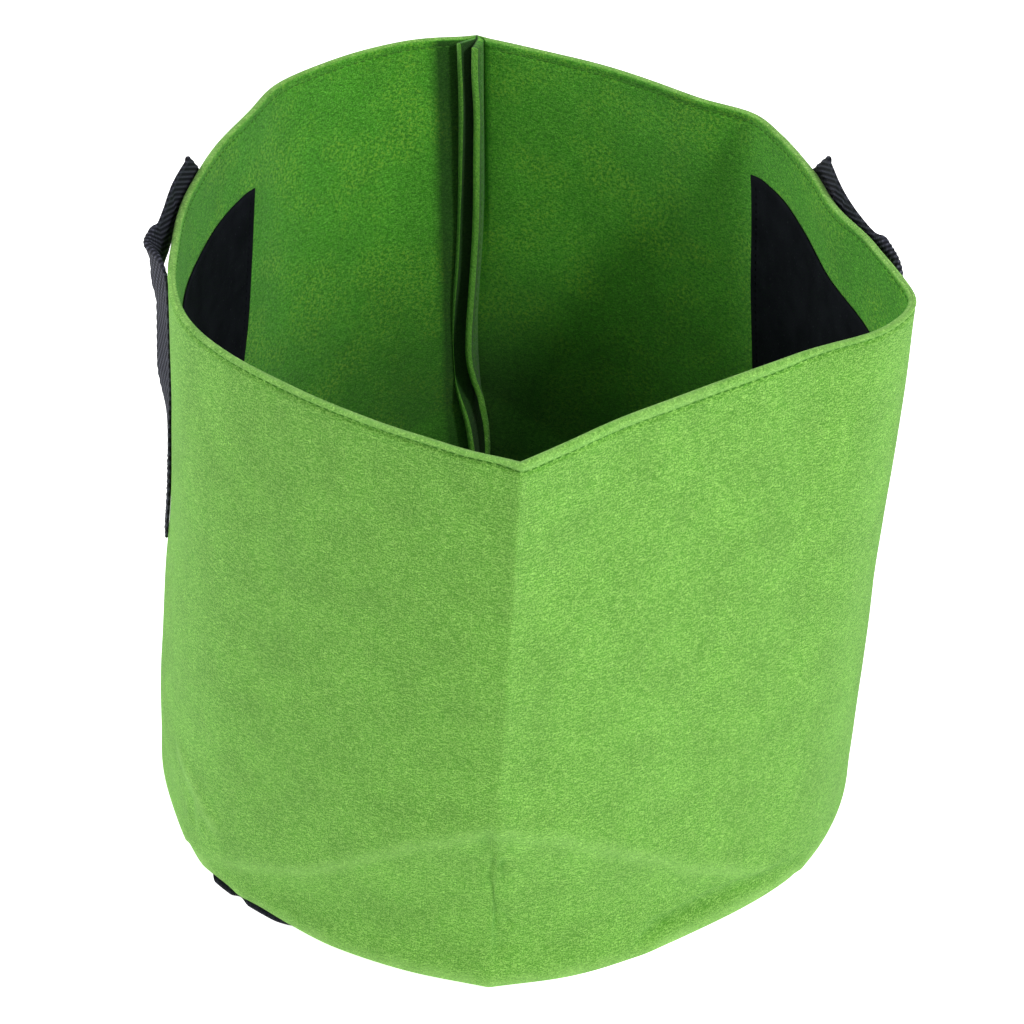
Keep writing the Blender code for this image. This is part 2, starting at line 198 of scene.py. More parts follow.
def lattice(x, y, seed):
    """Repeatable random numbers from -1 to 1 on whole-number points."""
    mixed = x.astype(np.int64) * 374761393 + y.astype(np.int64) * 668265263 + seed * 974634777
    mixed = (mixed ^ (mixed >> 13)) * 1274126177
    mixed = mixed ^ (mixed >> 16)
    return (mixed & 0xFFFF) / 32767.5 - 1


def noise(x, y, size, seed):
    """Smooth random relief from -1 to 1 with features of about that size."""
    x = x / size
    y = y / size
    x0 = np.floor(x)
    y0 = np.floor(y)
    fx = smoothstep(0, 1, x - x0)
    fy = smoothstep(0, 1, y - y0)
    low = between(lattice(x0, y0, seed), lattice(x0 + 1, y0, seed), fx)
    high = between(lattice(x0, y0 + 1, seed), lattice(x0 + 1, y0 + 1, seed), fx)
    return between(low, high, fy)


# ---------------------------------------------------------------- folds of the felt wall

# The bag was packed flat, so its lower wall keeps the folds of that: at the front and at the back a
# line runs down from a peak to both sides, and below it the wall is folded the other way.
# Each line is (shift, height)
FRONT_FOLD = (
    (-0.200, 0.000), (-0.156, 0.017), (-0.096, 0.044), (-0.076, 0.058), (-0.040, 0.083),
    (-0.002, 0.101), (0.029, 0.090), (0.062, 0.069), (0.080, 0.058), (0.095, 0.045),
    (0.140, 0.020), (0.175, 0.000),
)
FRONT_FOLD_DEPTH = 0.0050
BACK_FOLD_PEAK = 0.098
BACK_FOLD_REACH = 0.150
BACK_FOLD_DEPTH = 0.0100

# Puckers below the front peak, as (start, end, width, depth), where a point is (shift, height)
PUCKERS = (
    ((-0.0050, 0.100), (-0.0062, 0.087), 0.0020, 0.0006),
    ((-0.0026, 0.082), (-0.0046, 0.070), 0.0012, 0.0008),
    ((0.0035, 0.080), (0.0050, 0.068), 0.0012, 0.0008),
    ((-0.0046, 0.070), (-0.0008, 0.053), 0.0011, 0.0009),
    ((0.0014, 0.056), (-0.0022, 0.045), 0.0010, 0.0007),
    ((0.0018, 0.051), (0.0026, 0.038), 0.0013, 0.0008),
    ((0.0070, 0.046), (0.0088, 0.038), 0.0011, 0.0007),
    ((0.0030, 0.036), (0.0052, 0.021), 0.0024, 0.0005),
)
PUCKER_DARKEST = 0.0009  # a pucker of this depth is as dark as it gets
FOLD_SWELL = (0.0016, 0.020)  # height and reach of the rounded edge along the front fold
# The valley below the front peak: depth, reach, then its shifts at some heights
VALLEY = (0.0016, 0.0060)
VALLEY_HEIGHTS = (0.020, 0.053, 0.100)
VALLEY_SHIFTS = (0.0050, 0.0010, -0.0025)
RIPPLE = (0.0005, 0.0080)  # height and reach of the fine unevenness round the valley
RIPPLE_GRAIN = (0.0048, 11)  # its size, and the seed
# The groove above the lower right edge, as (shift, height)
GROOVE = (
    (0.064, 0.0060), (0.084, 0.0160), (0.104, 0.0185), (0.133, 0.0185), (0.152, 0.0150),
    (0.184, 0.0060),
)
GROOVE_DEPTH = 0.0026
GROOVE_WIDTHS = (0.0016, 0.0052)  # above its deepest line, and below it
GROOVE_SHADE = (0.8, 0.0006, 0.0020)  # darkness in the groove, how much lower it lies, its reach
GROOVE_LIP = (0.0009, 0.0085, 0.0045)  # height, distance below the groove, reach
# A crease at the lower left, with a dimple and a ridge beside it
SIDE_CREASE = ((-0.200, 0.066), (-0.170, 0.048), (-0.150, 0.036))
SIDE_DIMPLE = ((-0.1775, 0.044), (-0.1780, 0.022))
SIDE_RIDGE = ((-0.1695, 0.046), (-0.1700, 0.024))
# Each with its height above the wall and its reach
SIDE_LINES = (
    (SIDE_CREASE, 0.0016, 0.0050),
    (SIDE_DIMPLE, -0.0016, 0.0026),
    (SIDE_RIDGE, 0.0012, 0.0050),
)
# Where the felt has settled off the straight-sided wall, as (shift, its reach, height, its reach,
# distance outwards)
SETTLED = (
    (-0.245, 0.052, 0.215, 0.115, -0.0049),
    (-0.150, 0.042, 0.300, 0.110, -0.0043),
    (-0.100, 0.036, 0.300, 0.080, -0.0018),
    (-0.025, 0.016, 0.300, 0.060, 0.0014),
    (0.050, 0.028, 0.300, 0.080, -0.0022),
    (0.102, 0.032, 0.300, 0.080, -0.0013),
    (0.158, 0.036, 0.300, 0.090, -0.0036),
    (0.228, 0.020, 0.296, 0.035, -0.0018),
    (0.320, 0.045, 0.300, 0.120, 0.0016),
    (-0.215, 0.040, 0.006, 0.025, -0.0024),
)
# The felt's own unevenness, as (height, size, seed)
UNEVEN = ((0.0008, 0.085, 3), (0.00035, 0.030, 5))
# The rim rises towards the back seam: as (from, to) to the left of it, and to its right
RIM_RISE = 0.0026
RISE_LEFT = (-0.090, -0.020)
RISE_RIGHT = (0.160, 0.020)


def shift_of(place):
    return (place - 0.5) * WALL_LENGTH


def fold_height(shift):
    line = np.array(FRONT_FOLD)
    return np.interp(shift, line[:, 0], line[:, 1], left=0, right=0)


def line_relief(shift, height, line, width):
    """1 on a line of points, falling off to its sides and towards its two ends."""
    best = np.zeros(np.broadcast(shift, height).shape)
    count = len(line) - 1
    for i in range(count):
        distance, t = segment_distance(shift, height, line[i], line[i + 1])
        along = (i + t) / count
        fade = smoothstep(0, 0.18, along) * smoothstep(0, 0.18, 1 - along)
        best = np.maximum(best, bump(distance, 0, width) * fade)
    return best


def front_fold_relief(shift, height):
    """The lower front is folded back below the fold line, most of all in the middle."""
    top = np.maximum(fold_height(shift), 0.001)
    depth_share = np.clip(1 - height / top, 0, 1)
    depth = FRONT_FOLD_DEPTH * np.sqrt(np.clip(top / 0.1, 0, 1))
    dent = depth * 4 * depth_share * (1 - depth_share)
    rise, reach = FOLD_SWELL
    rise = rise * np.clip(top / 0.1, 0, 1)
    swell = rise * bump(height, top, reach) * (height > top)
    swell += rise * (height <= top) * (1 - depth_share) ** 2
    return swell - dent * (top > 0.004)


def front_valley_relief(shift, height):
    middle = np.interp(height, VALLEY_HEIGHTS, VALLEY_SHIFTS)
    shown = smoothstep(0.004, 0.030, height) * smoothstep(0.106, 0.088, height)
    valley = -VALLEY[0] * bump(shift, middle, VALLEY[1]) * shown
    for start, end, width, depth in PUCKERS:
        distance, _ = segment_distance(shift, height, start, end)
        valley -= depth * bump(distance, 0, width)
    ripple = noise(shift * 0.6, height, *RIPPLE_GRAIN) * RIPPLE[0]
    return valley + ripple * bump(shift, middle, RIPPLE[1]) * shown


def fold_shade(shift, height):
    """How deep a point lies in a narrow fold, where little light gets in."""
    shade = GROOVE_SHADE[0] * line_relief(shift, height + GROOVE_SHADE[1], GROOVE, GROOVE_SHADE[2])
    for start, end, width, depth in PUCKERS:
        distance, _ = segment_distance(shift, height, start, end)
        shade = np.maximum(shade, depth / PUCKER_DARKEST * bump(distance, 0, width))
    return np.clip(shade, 0, 1)


def back_fold_relief(place, height):
    from_seam = np.minimum(place, 1 - place) * WALL_LENGTH
    top = BACK_FOLD_PEAK * np.clip(1 - (from_seam / BACK_FOLD_REACH) ** 1.15, 0, 1)
    top = np.maximum(top, 0.001)
    depth_share = np.clip(1 - height / top, 0, 1)
    depth = BACK_FOLD_DEPTH * np.clip(top / BACK_FOLD_PEAK, 0, 1)
    return -depth * 4 * depth_share * (1 - depth_share) * (top > 0.004)


def groove_relief(shift, height):
    line = np.array(GROOVE)
    above = height > np.interp(shift, line[:, 0], line[:, 1])
    width = np.where(above, *GROOVE_WIDTHS)
    groove = -GROOVE_DEPTH * line_relief(shift, height, GROOVE, width)
    rise, below, reach = GROOVE_LIP
    lip = [(x, z - below) for x, z in GROOVE]
    return groove + rise * line_relief(shift, height, lip, reach)


def side_relief(shift, height):
    return sum(rise * line_relief(shift, height, line, reach) for line, rise, reach in SIDE_LINES)


def settled_relief(shift, height):
    total = 0.0
    for at, reach, middle, rise, distance in SETTLED:
        total = total + distance * bump(shift, at, reach) * bump(height, middle, rise)
    return total


def rim_rise(place, height):
    """How much higher than level the felt stands near the back seam."""
    right_of_seam = np.where(place > 0.5, 1 - place, -place) * WALL_LENGTH
    near = smoothstep(*RISE_LEFT, right_of_seam) * smoothstep(*RISE_RIGHT, right_of_seam)
    return RIM_RISE * near * smoothstep(0.200, BAG_HEIGHT, height)


def wall_relief(place, height):
    """How far the felt stands outside the plain wall."""
    shift = shift_of(place)
    relief = front_fold_relief(shift, height)
    relief += front_valley_relief(shift, height)
    relief += back_fold_relief(place, height)
    for part in (groove_relief, side_relief, settled_relief):
        relief += part(shift, height)
    middle = smoothstep(0.015, 0.050, height)
    for rise, size, seed in UNEVEN:
        relief += rise * noise(shift, height, size, seed) * middle
    return relief


def felt_point(place, height, inset):
    """Points of the wall felt, inset from its outer face, as an (..., 3) array."""
    place, height, inset = np.broadcast_arrays(
        np.asarray(place, float), np.asarray(height, float), np.asarray(inset, float)
    )
    outward = wall_outward(place, height)
    offset = (wall_relief(place, height) - inset)[..., None]
    plan = wall_plan(place, height) + outward * offset
    raised = height + rim_rise(place, height)
    return np.concatenate([plan, raised[..., None]], -1)


# ---------------------------------------------------------------- meshes


def add_mesh(name, points, faces, slot):
    """A smooth object with the finish of that material slot."""
    mesh = bpy.data.meshes.new(name)
    mesh.from_pydata(points, [], faces)
    mesh.shade_smooth()
    mesh.materials.append(FINISHES[slot])
    piece = bpy.data.objects.new(name, mesh)
    bpy.context.scene.collection.objects.link(piece)
    return piece


def corner_points(mesh):
    """The number of the point at each face corner."""
    corners = np.zeros(len(mesh.loops), np.int32)
    mesh.loops.foreach_get("vertex_index", corners)
    return corners


def lay_cloth(mesh, uv):
    """Sets where each face corner lies on the flat cloth, in metres."""
    layer = mesh.uv_layers.new(name="cloth")
    layer.data.foreach_set("uv", uv.astype(np.float32).ravel())


def strip_faces(first, second):
    """Quads between two equal rows of point numbers."""
    return np.stack([first[:-1], first[1:], second[1:], second[:-1]], -1)


def sheet_faces(rows, columns, closed=False):
    """Quads of a closed sheet: an outer grid of points, then an inner one of the same size."""
    outer = np.arange(rows * columns).reshape(rows, columns)
    inner = outer + rows * columns
    if closed:
        outer = np.concatenate([outer, outer[:, :1]], 1)
        inner = np.concatenate([inner, inner[:, :1]], 1)
    faces = [strip_faces(outer[i], outer[i + 1]) for i in range(rows - 1)]
    faces += [strip_faces(inner[i + 1], inner[i]) for i in range(rows - 1)]
    faces.append(strip_faces(inner[0], outer[0]))
    faces.append(strip_faces(outer[-1], inner[-1]))
    if not closed:
        faces.append(strip_faces(outer[:, 0], inner[:, 0]))
        faces.append(strip_faces(inner[:, -1], outer[:, -1]))
    return np.concatenate(faces)


def face_outwards(piece):
    """Turns every face of a closed piece outwards."""
    bm = bmesh.new()
    bm.from_mesh(piece.data)
    bmesh.ops.recalc_face_normals(bm, faces=bm.faces)
    if bm.calc_volume(signed=True) < 0:
        bmesh.ops.reverse_faces(bm, faces=bm.faces)
    bm.to_mesh(piece.data)
    bm.free()
    return piece


def add_sheet(name, outer, inner, slot, uv, values=None, edge_follows=True):
    """A closed sheet between an outer and an inner grid of points. uv is a pair of (u, v) grids, and
    each of the values is a pair of grids, for the outer and the inner points. Where the edge follows,
    the faces that join the two grids carry on from the outer one's place on the cloth."""
    rows, columns = outer.shape[:2]
    count = rows * columns
    points = np.concatenate([outer.reshape(-1, 3), inner.reshape(-1, 3)])
    piece = add_mesh(name, points.tolist(), sheet_faces(rows, columns).tolist(), slot)
    flat = np.concatenate([np.column_stack([u.ravel(), v.ravel()]) for u, v in uv])
    corners = corner_points(piece.data)
    laid = flat[corners]
    if edge_follows:
        first = len(corners) - 8 * (rows + columns - 2)
        edge = corners[first:]
        within = edge >= count
        laid[first:][within] = flat[edge[within] - count] + FELT
    lay_cloth(piece.data, laid)
    for key, grids in (values or {}).items():
        attribute = piece.data.attributes.new(key, "FLOAT", "POINT")
        numbers = np.concatenate([grid.ravel() for grid in grids])
        attribute.data.foreach_set("value", numbers.astype(np.float32))
    return face_outwards(piece)


def stand_for(piece, slot, *nodes):
    """The piece takes the place of those CAD parts, which it hides. The slot is not used."""
    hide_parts(*nodes)
    return piece


def fix_to_bag(piece, slot, node):
    """The piece stays on the bag's body, and stands for one CAD part of it."""
    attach(piece, "bag")
    return stand_for(piece, slot, node)


THREAD_SIDES = 6
THREAD_END = 0.55  # thickness of a stitch's ends
THREAD_TWIST = (0.13, 0.21, 0.97)  # a direction that no stitch has


def add_stitches(name, node, runs, radius, slot):
    """Threads along the runs, each an array of points, fixed to the bag."""
    points = []
    faces = []
    turn = np.arange(THREAD_SIDES) / THREAD_SIDES * 2 * math.pi
    for run in runs:
        forward = np.gradient(run, axis=0)
        forward /= np.linalg.norm(forward, axis=1, keepdims=True)
        side = np.cross(forward, THREAD_TWIST)
        side /= np.linalg.norm(side, axis=1, keepdims=True)
        up = np.cross(side, forward)
        taper = np.ones((len(run), 1, 1))
        taper[0] = taper[-1] = THREAD_END
        ring = (
            run[:, None]
            + side[:, None] * (np.cos(turn)[None, :, None] * radius * taper)
            + up[:, None] * (np.sin(turn)[None, :, None] * radius * taper)
        )
        numbers = sum(len(p) for p in points) + np.arange(len(run) * THREAD_SIDES)
        numbers = numbers.reshape(len(run), THREAD_SIDES)
        points.append(ring.reshape(-1, 3))
        closed = np.concatenate([numbers, numbers[:, :1]], 1)
        for a, b in zip(closed, closed[1:]):
            faces += strip_faces(a, b).tolist()
        faces += [numbers[0].tolist(), numbers[-1].tolist()]
    piece = add_mesh(name, np.concatenate(points).tolist(), faces, slot)
    fix_to_bag(face_outwards(piece), slot, node)


STITCH_SAG = (1, 0.25, 0, 0, 0.25, 1)  # how far along its dip a stitch lies, from end to end


def dashes(points, stitch, gap, dip):
    """Cuts a dense line into stitches of that length, whose ends dip along the given vectors."""
    steps = np.linalg.norm(np.diff(points, axis=0), axis=1)
    length = np.concatenate([[0], np.cumsum(steps)])
    count = max(int(length[-1] / (stitch + gap)), 1)
    pitch = length[-1] / count
    sag = np.array(STITCH_SAG)[:, None]
    runs = []
    for i in range(count):
        at = i * pitch + gap / 2 + np.linspace(0, 1, len(sag)) * (pitch - gap)
        runs.append(resample(at, length, points) + resample(at, length, dip) * sag)
    return runs


def sewn_line(place, height, inset, under, pattern):
    """Stitches along a line on the felt, which lie at one inset and end at the other."""
    surface = felt_point(place, height, inset)
    return dashes(surface, *pattern, felt_point(place, height, under) - surface)


# ---------------------------------------------------------------- materials


class Finish:
    """A material's node tree with short ways to add nodes."""

    def __init__(self, name, roughness, specular, sheen=0.0):
        self.material = bpy.data.materials.new(name)
        self.material.use_nodes = True
        self.tree = self.material.node_tree
        self.shader = self.tree.nodes["Principled BSDF"]
        self.fill(
            self.shader,
            {
                "Roughness": roughness,
                "Sheen Weight": sheen,
                "Sheen Roughness": 0.6,
                "Specular IOR Level": specular,
            },
        )

    def node(self, kind, inputs=None, **settings):
        made = self.tree.nodes.new(kind)
        for key, value in settings.items():
            setattr(made, key, value)
        return self.fill(made, inputs or {})

    def fill(self, node, inputs):
        for key, value in inputs.items():
            self.put(node.inputs[key], value)
        return node

    def put(self, socket, value):
        """Links an output to the socket, or sets the number on it."""
        if isinstance(value, bpy.types.NodeSocket):
            self.tree.links.new(value, socket)
        else:
            socket.default_value = value

    def cloth(self, scale, turn=0.0, move=0.0):
        """Coordinates on the cloth, scaled along it and across it, turned by an angle."""
        source = self.node("ShaderNodeUVMap", uv_map="cloth")
        inputs = {
            "Rotation": (0, 0, turn),
            "Location": (move, move * 0.7, 0),
            "Scale": (1 / scale[0], 1 / scale[1], 1),
            "Vector": source.outputs["UV"],
        }
        return self.node("ShaderNodeMapping", inputs, vector_type="TEXTURE").outputs["Vector"]

    def noise(self, vector, scale=1.0, detail=3.0, rough=0.55, distortion=0.0):
        inputs = {
            "Vector": vector,
            "Scale": scale,
            "Detail": detail,
            "Roughness": rough,
            "Distortion": distortion,
        }
        return self.node("ShaderNodeTexNoise", inputs, noise_dimensions="2D").outputs["Fac"]

    def math(self, operation, a, b=0.0, c=0.0, clamp=False):
        inputs = dict(enumerate((a, b, c)))
        return self.node("ShaderNodeMath", inputs, operation=operation, use_clamp=clamp).outputs[0]

    def remap(self, value, low, high, to_low=0.0, to_high=1.0):
        inputs = {"Value": value, "From Min": low, "From Max": high, "To Min": to_low, "To Max": to_high}
        return self.node("ShaderNodeMapRange", inputs).outputs["Result"]

    def mix(self, share, a, b, blend="MIX"):
        inputs = {"Factor": share, 6: a, 7: b}
        return self.node("ShaderNodeMix", inputs, data_type="RGBA", blend_type=blend).outputs[2]

    def grey(self, value):
        return self.node("ShaderNodeCombineColor", dict.fromkeys(range(3), value)).outputs[0]

    def value(self, name):
        return self.node("ShaderNodeAttribute", attribute_name=name).outputs["Fac"]

    def finish(self, colour, height, distance, strength):
        """Colours the surface, and lends it a fine relief; returns the material."""
        inputs = {"Distance": distance, "Strength": strength, "Height": height}
        self.put(self.shader.inputs["Base Color"], colour)
        self.put(self.shader.inputs["Normal"], self.node("ShaderNodeBump", inputs).outputs["Normal"])
        return self.material

    def fibres(self, directions, fine, long):
        """Short strands in several directions: the brightest strand wins."""
        best = None
        for i, turn in enumerate(directions):
            strands = self.noise(self.cloth((fine, long), turn, 3.1 * i), 1, 2.0, 0.6, 0.35)
            best = strands if best is None else self.math("MAXIMUM", best, strands)
        return best


def green_felt():
    """Needled felt: short fibres, most of them lying along the wall, over a darker ground; paler on worn
    folds, partly painted highlight; painted shade in narrow folds; a deeper green of painted shade and
    bounce light on the inner face, mottled with painted light showing through, and near black painted
    shade in the seam's gap, beside the seam and low down."""
    f = Finish("green_felt", 0.95, sheen=0.11, specular=0.03)
    # 0 on the outer face; 1 gives the inner face's deeper green, which is painted shade and bounce light;
    # above 1 near-black painted shade
    painted_shade_level = f.value("painted_shade_level")
    lengthways = f.fibres([math.radians(a) for a in (68, 83, 98, 113)], 2300, 230)
    crossing = f.fibres([math.radians(a) for a in (22, 150)], 2200, 500)
    grain = f.noise(f.cloth((1300, 1300)), 1, 2.0, 0.6)
    clouds = f.noise(f.cloth((45, 45)), 1, 3.0, 0.55)
    light = f.math("MULTIPLY", f.remap(lengthways, 0.54, 0.74), 0.68)
    light = f.math("ADD", light, f.math("MULTIPLY", f.remap(crossing, 0.50, 0.72), 0.32))
    colour = f.mix(light, (0.085, 0.295, 0.021, 1), (0.400, 0.735, 0.155, 1))
    dark = f.remap(grain, 0.38, 0.53, 0.75, 0.0)
    colour = f.mix(dark, colour, (0.052, 0.205, 0.013, 1))
    cloudy = f.remap(clouds, 0.3, 0.7, 0.91, 1.07)
    colour = f.mix(1.0, colour, f.grey(cloudy), "MULTIPLY")
    # paler where worn, and painted highlights on the fold ridges, the crease, the foot's lip and the rim
    colour = f.mix(f.math("MULTIPLY", f.value("wear_and_highlight"), 0.50), colour, (0.360, 0.660, 0.175, 1))
    colour = f.mix(f.math("MULTIPLY", f.value("shade"), 0.45), colour, (0.060, 0.235, 0.020, 1))
    # the inner face's deeper green: painted shade and bounce light
    deep = f.mix(1.0, colour, (0.66, 1.15, 0.60, 1), "MULTIPLY")
    # mottled specks on the inner face: painted light showing through the felt, paler specks and darker
    # pits
    speck = f.noise(f.cloth((560, 560), 0.4), 1, 4.0, 0.75, 0.2)
    cluster = f.noise(f.cloth((28, 28), 0.9), 1, 3.0, 0.6)
    shown = f.remap(cluster, 0.44, 0.62, 0.06, 0.95)
    shown = f.math("MULTIPLY", f.remap(speck, 0.52, 0.64), shown)
    deep = f.mix(shown, deep, (0.270, 0.600, 0.050, 1))
    sunk = f.remap(speck, 0.34, 0.50, 0.60, 0.0)
    deep = f.mix(sunk, deep, (0.030, 0.130, 0.010, 1))
    colour = f.mix(painted_shade_level, colour, deep)
    # above 1 the level mixes towards near black: painted shade in the seam's gap, beside the seam and low
    # on the inner wall
    gap = f.math("SUBTRACT", painted_shade_level, 1.0, clamp=True)
    colour = f.mix(f.math("MULTIPLY", gap, 0.9), colour, (0.006, 0.030, 0.005, 1))
    height = f.math("ADD", f.math("MULTIPLY", light, 0.6), f.math("MULTIPLY", grain, 0.5))
    return f.finish(colour, height, 0.0005, 0.7)


def black_felt():
    f = Finish("black_felt", 0.95, specular=0.06)
    strands = f.fibres([math.radians(a) for a in (10, 75, 130)], 1500, 330)
    colour = f.mix(f.remap(strands, 0.5, 0.85), (0.0060, 0.0070, 0.010, 1), (0.030, 0.034, 0.044, 1))
    return f.finish(colour, strands, 0.0006, 0.8)


def patch_fabric():
    """A smooth, thin non-woven, nearly black, with a faint press pattern and a few pale specks."""
    f = Finish("patch_fabric", 0.9, specular=0.05)
    specks = f.noise(f.cloth((500, 500)), 1, 1.0)
    haze = f.noise(f.cloth((60, 60)), 1, 2.0)
    colour = f.mix(f.remap(haze, 0.3, 0.7), (0.0060, 0.0068, 0.0098, 1), (0.0100, 0.0112, 0.0155, 1))
    colour = f.mix(f.remap(specks, 0.74, 0.82, 0, 0.4), colour, (0.045, 0.05, 0.06, 1))
    return f.finish(colour, f.noise(f.cloth((1100, 1100)), 1, 2.0), 0.0003, 0.6)


def webbing():
    """Twilled polypropylene webbing: bright filament tips on black ribs, partly a painted highlight where
    the ribs catch the light; plain selvedges.
    """
    f = Finish("black_webbing", 0.75, specular=0.15)
    inputs = {"Vector": f.cloth((1, 1), math.radians(24)), "Scale": 230, "Distortion": 0.6, "Detail": 1}
    twill = f.node("ShaderNodeTexWave", inputs, wave_type="BANDS", bands_direction="X", wave_profile="SIN")
    filaments = f.noise(f.cloth((1500, 1200)), 1, 2.0, 0.6)
    rib = f.value("rib")
    ribs = f.remap(twill.outputs["Fac"], 0.15, 0.95, 0.35)
    share = f.math("MULTIPLY", ribs, f.remap(filaments, 0.35, 0.7, 0.45))
    # the rib crests are painted paler: a painted highlight where they catch the light
    share = f.math("MULTIPLY", share, f.remap(rib, 0.35, 0.85, 0.03, 1.0))
    share = f.math("MAXIMUM", share, f.math("MULTIPLY", f.value("selvedge"), 0.30))
    colour = f.mix(share, (0.0070, 0.0080, 0.0125, 1), (0.105, 0.110, 0.150, 1))
    height = f.math("ADD", twill.outputs["Fac"], f.math("MULTIPLY", filaments, 0.5))
    return f.finish(colour, height, 0.0004, 0.7)


def thread_finish(name, dark, light):
    f = Finish(name, 0.85, specular=0.05)
    coordinates = f.node("ShaderNodeTexCoord")
    inputs = {"Vector": coordinates.outputs["Object"], "Scale": 900}
    twist = f.node("ShaderNodeTexWave", inputs, wave_type="BANDS", bands_direction="DIAGONAL")
    lines = twist.outputs["Fac"]
    return f.finish(f.mix(lines, dark, light), lines, 0.0001, 0.6)


FINISHES = {
    "green_felt": green_felt(),
    "black_felt": black_felt(),
    "patch_fabric": patch_fabric(),
    "black_webbing": webbing(),
    "green_thread": thread_finish("green_thread", (0.045, 0.16, 0.020, 1), (0.10, 0.29, 0.045, 1)),
    "black_thread": thread_finish("black_thread", (0.005, 0.006, 0.009, 1), (0.011, 0.012, 0.017, 1)),
}


# ---------------------------------------------------------------- the felt wall

# Section of the turned-in foot from its inner edge upwards, as
# (inset of the outer face, its height, inset of the inner face, its height)
FOOT_SECTION = (
    (0.0140, 0.0038, 0.0140, 0.0073), (0.0115, 0.0038, 0.0115, 0.0073),
    (0.0092, 0.0038, 0.0092, 0.0074), (0.0076, 0.0026, 0.0072, 0.0075),
    (0.0060, 0.0014, 0.0058, 0.0077), (0.0042, 0.0006, 0.0050, 0.0081),
    (0.0026, 0.0005, 0.0045, 0.0086), (0.0013, 0.0010, 0.0042, 0.0092),
    (0.0005, 0.0020, 0.0039, 0.0099), (0.0001, 0.0036, 0.0037, 0.0108),
    (0.0000, 0.0058, 0.0035, 0.0119), (0.0000, 0.0086, 0.0035, 0.0132),
    (0.0000, 0.0118, 0.0035, 0.0148), (0.0000, 0.0155, 0.0035, 0.0172),
)
FOOT_ROLL_START = 0.020
SEAM_CLEAR = 0.022
RIM_ROWS = 6
RIM_ROUND = 0.0011
STITCH_NEARER = 0.0022
# Rows of the plain wall, as (from, to, count): finer at the folds and at the hem
PLAIN_ROWS = (
    (FOOT_ROLL_START, 0.034, 10),
    (0.034, 0.108, 36),
    (0.108, 0.2895, 48),
    (0.2895, BAG_HEIGHT - RIM_ROUND, 14),
)
# Where the foot's roll stands up off the base, as (shift, share of the lift)
LIFTS = (
    (-0.1720, 0.00), (-0.1640, 0.50), (-0.1570, 0.85), (-0.1500, 1.00), (-0.1455, 0.85),
    (-0.1420, 0.55), (-0.1380, 0.60), (-0.1300, 0.95), (-0.1240, 1.00), (-0.1140, 0.75),
    (-0.1040, 0.50), (-0.0960, 0.28), (-0.0880, 0.08), (-0.0820, 0.00),
)
LIFT = 0.0023
LIFT_FADE = 0.012  # height over which the lift dies out
LIFT_FIRST = 3  # of the foot's rows: those further in stay on the base
SEAM_FOOT = (0.0006, 0.00015)  # at the seam, where no foot is turned in: lowest height, taper per row
RIM_TURN = math.radians(84)


def lifted(shift):
    """How much of the foot's roll is lifted, which bares the edge of the base."""
    at, share = np.array(LIFTS).T
    return sum(np.interp(shift + step, at, share) for step in (-0.0015, 0.0, 0.0015)) / 3


def section_rows(place):
    """Insets and heights of the wall's outer and inner face, each (rows, places)."""
    foot = np.array(FOOT_SECTION)
    count = len(foot)
    from_seam = np.minimum(place, 1 - place) * WALL_LENGTH
    fade = np.clip((from_seam - SEAM_CLEAR) / SEAM_CLEAR, 0, 1)[None]
    settle = np.clip(np.clip(from_seam / SEAM_CLEAR - 0.4, 0, 1) * 2, 0, 1)[None]
    rank = np.arange(count)[:, None]
    lowest, taper = SEAM_FOOT
    plain_height = lowest + (FOOT_ROLL_START - lowest) * rank / count
    out_inset = between(taper * (count - rank), foot[:, 0:1], fade)
    out_height = between(plain_height, foot[:, 1:2], settle)
    in_inset = between(FELT, foot[:, 2:3], fade)
    in_height = between(plain_height, foot[:, 3:4], settle)
    low = np.clip(1 - (out_height - foot[:, 1].min()) / LIFT_FADE, 0, 1)
    out_height = out_height + LIFT * lifted(shift_of(place))[None] * low * (rank >= LIFT_FIRST)

    spans = [np.linspace(*span, endpoint=False) for span in PLAIN_ROWS]
    plain = np.append(np.concatenate(spans), BAG_HEIGHT - RIM_ROUND)
    turn = np.arange(1, RIM_ROWS + 1) / RIM_ROWS * RIM_TURN
    edge_inset = np.append(plain * 0, FELT / 2 * (1 - np.cos(turn)))[:, None]
    edge_height = BAG_HEIGHT - RIM_ROUND + RIM_ROUND * np.sin(turn)
    wide = np.ones((1, len(place)))
    upper = np.append(plain, edge_height)[:, None] * wide
    return (
        np.concatenate([out_inset, edge_inset * wide]),
        np.concatenate([out_height, upper]),
        np.concatenate([in_inset, (FELT - edge_inset) * wide]),
        np.concatenate([in_height, upper]),
    )


def stitch_height(place):
    """Where the rim's stitches run; they come nearer to the edge on the front left."""
    shift = shift_of(place)
    near = smoothstep(-0.270, -0.230, shift) * smoothstep(0.008, -0.012, shift)
    near += smoothstep(0.120, 0.165, shift) * smoothstep(0.300, 0.260, shift)
    return BAG_HEIGHT - RIM_STITCH_BELOW + STITCH_NEARER * near


# Each as (depth, height over the stitches, reach)
HEM_GROOVE = (0.0009, 0.0, 0.0010)
HEM_PUFF = (0.0003, 0.0022, 0.0013)
HEM_WITHIN = 0.3  # share of the hem's relief that shows on the inner face


def hem(place, height):
    """Inset of the outer face at the hem: a groove along the stitches, a puffed edge above it."""
    above = height - stitch_height(place)
    return HEM_GROOVE[0] * bump(above, *HEM_GROOVE[1:]) - HEM_PUFF[0] * bump(above, *HEM_PUFF[1:])


def both_faces(place, section):
    """Points of the wall's outer and inner face at the rows of a section."""
    out_inset, out_height, in_inset, in_height = section
    return (
        felt_point(place, out_height, out_inset + hem(place, out_height)),
        felt_point(place, in_height, in_inset - HEM_WITHIN * hem(place, in_height)),
    )


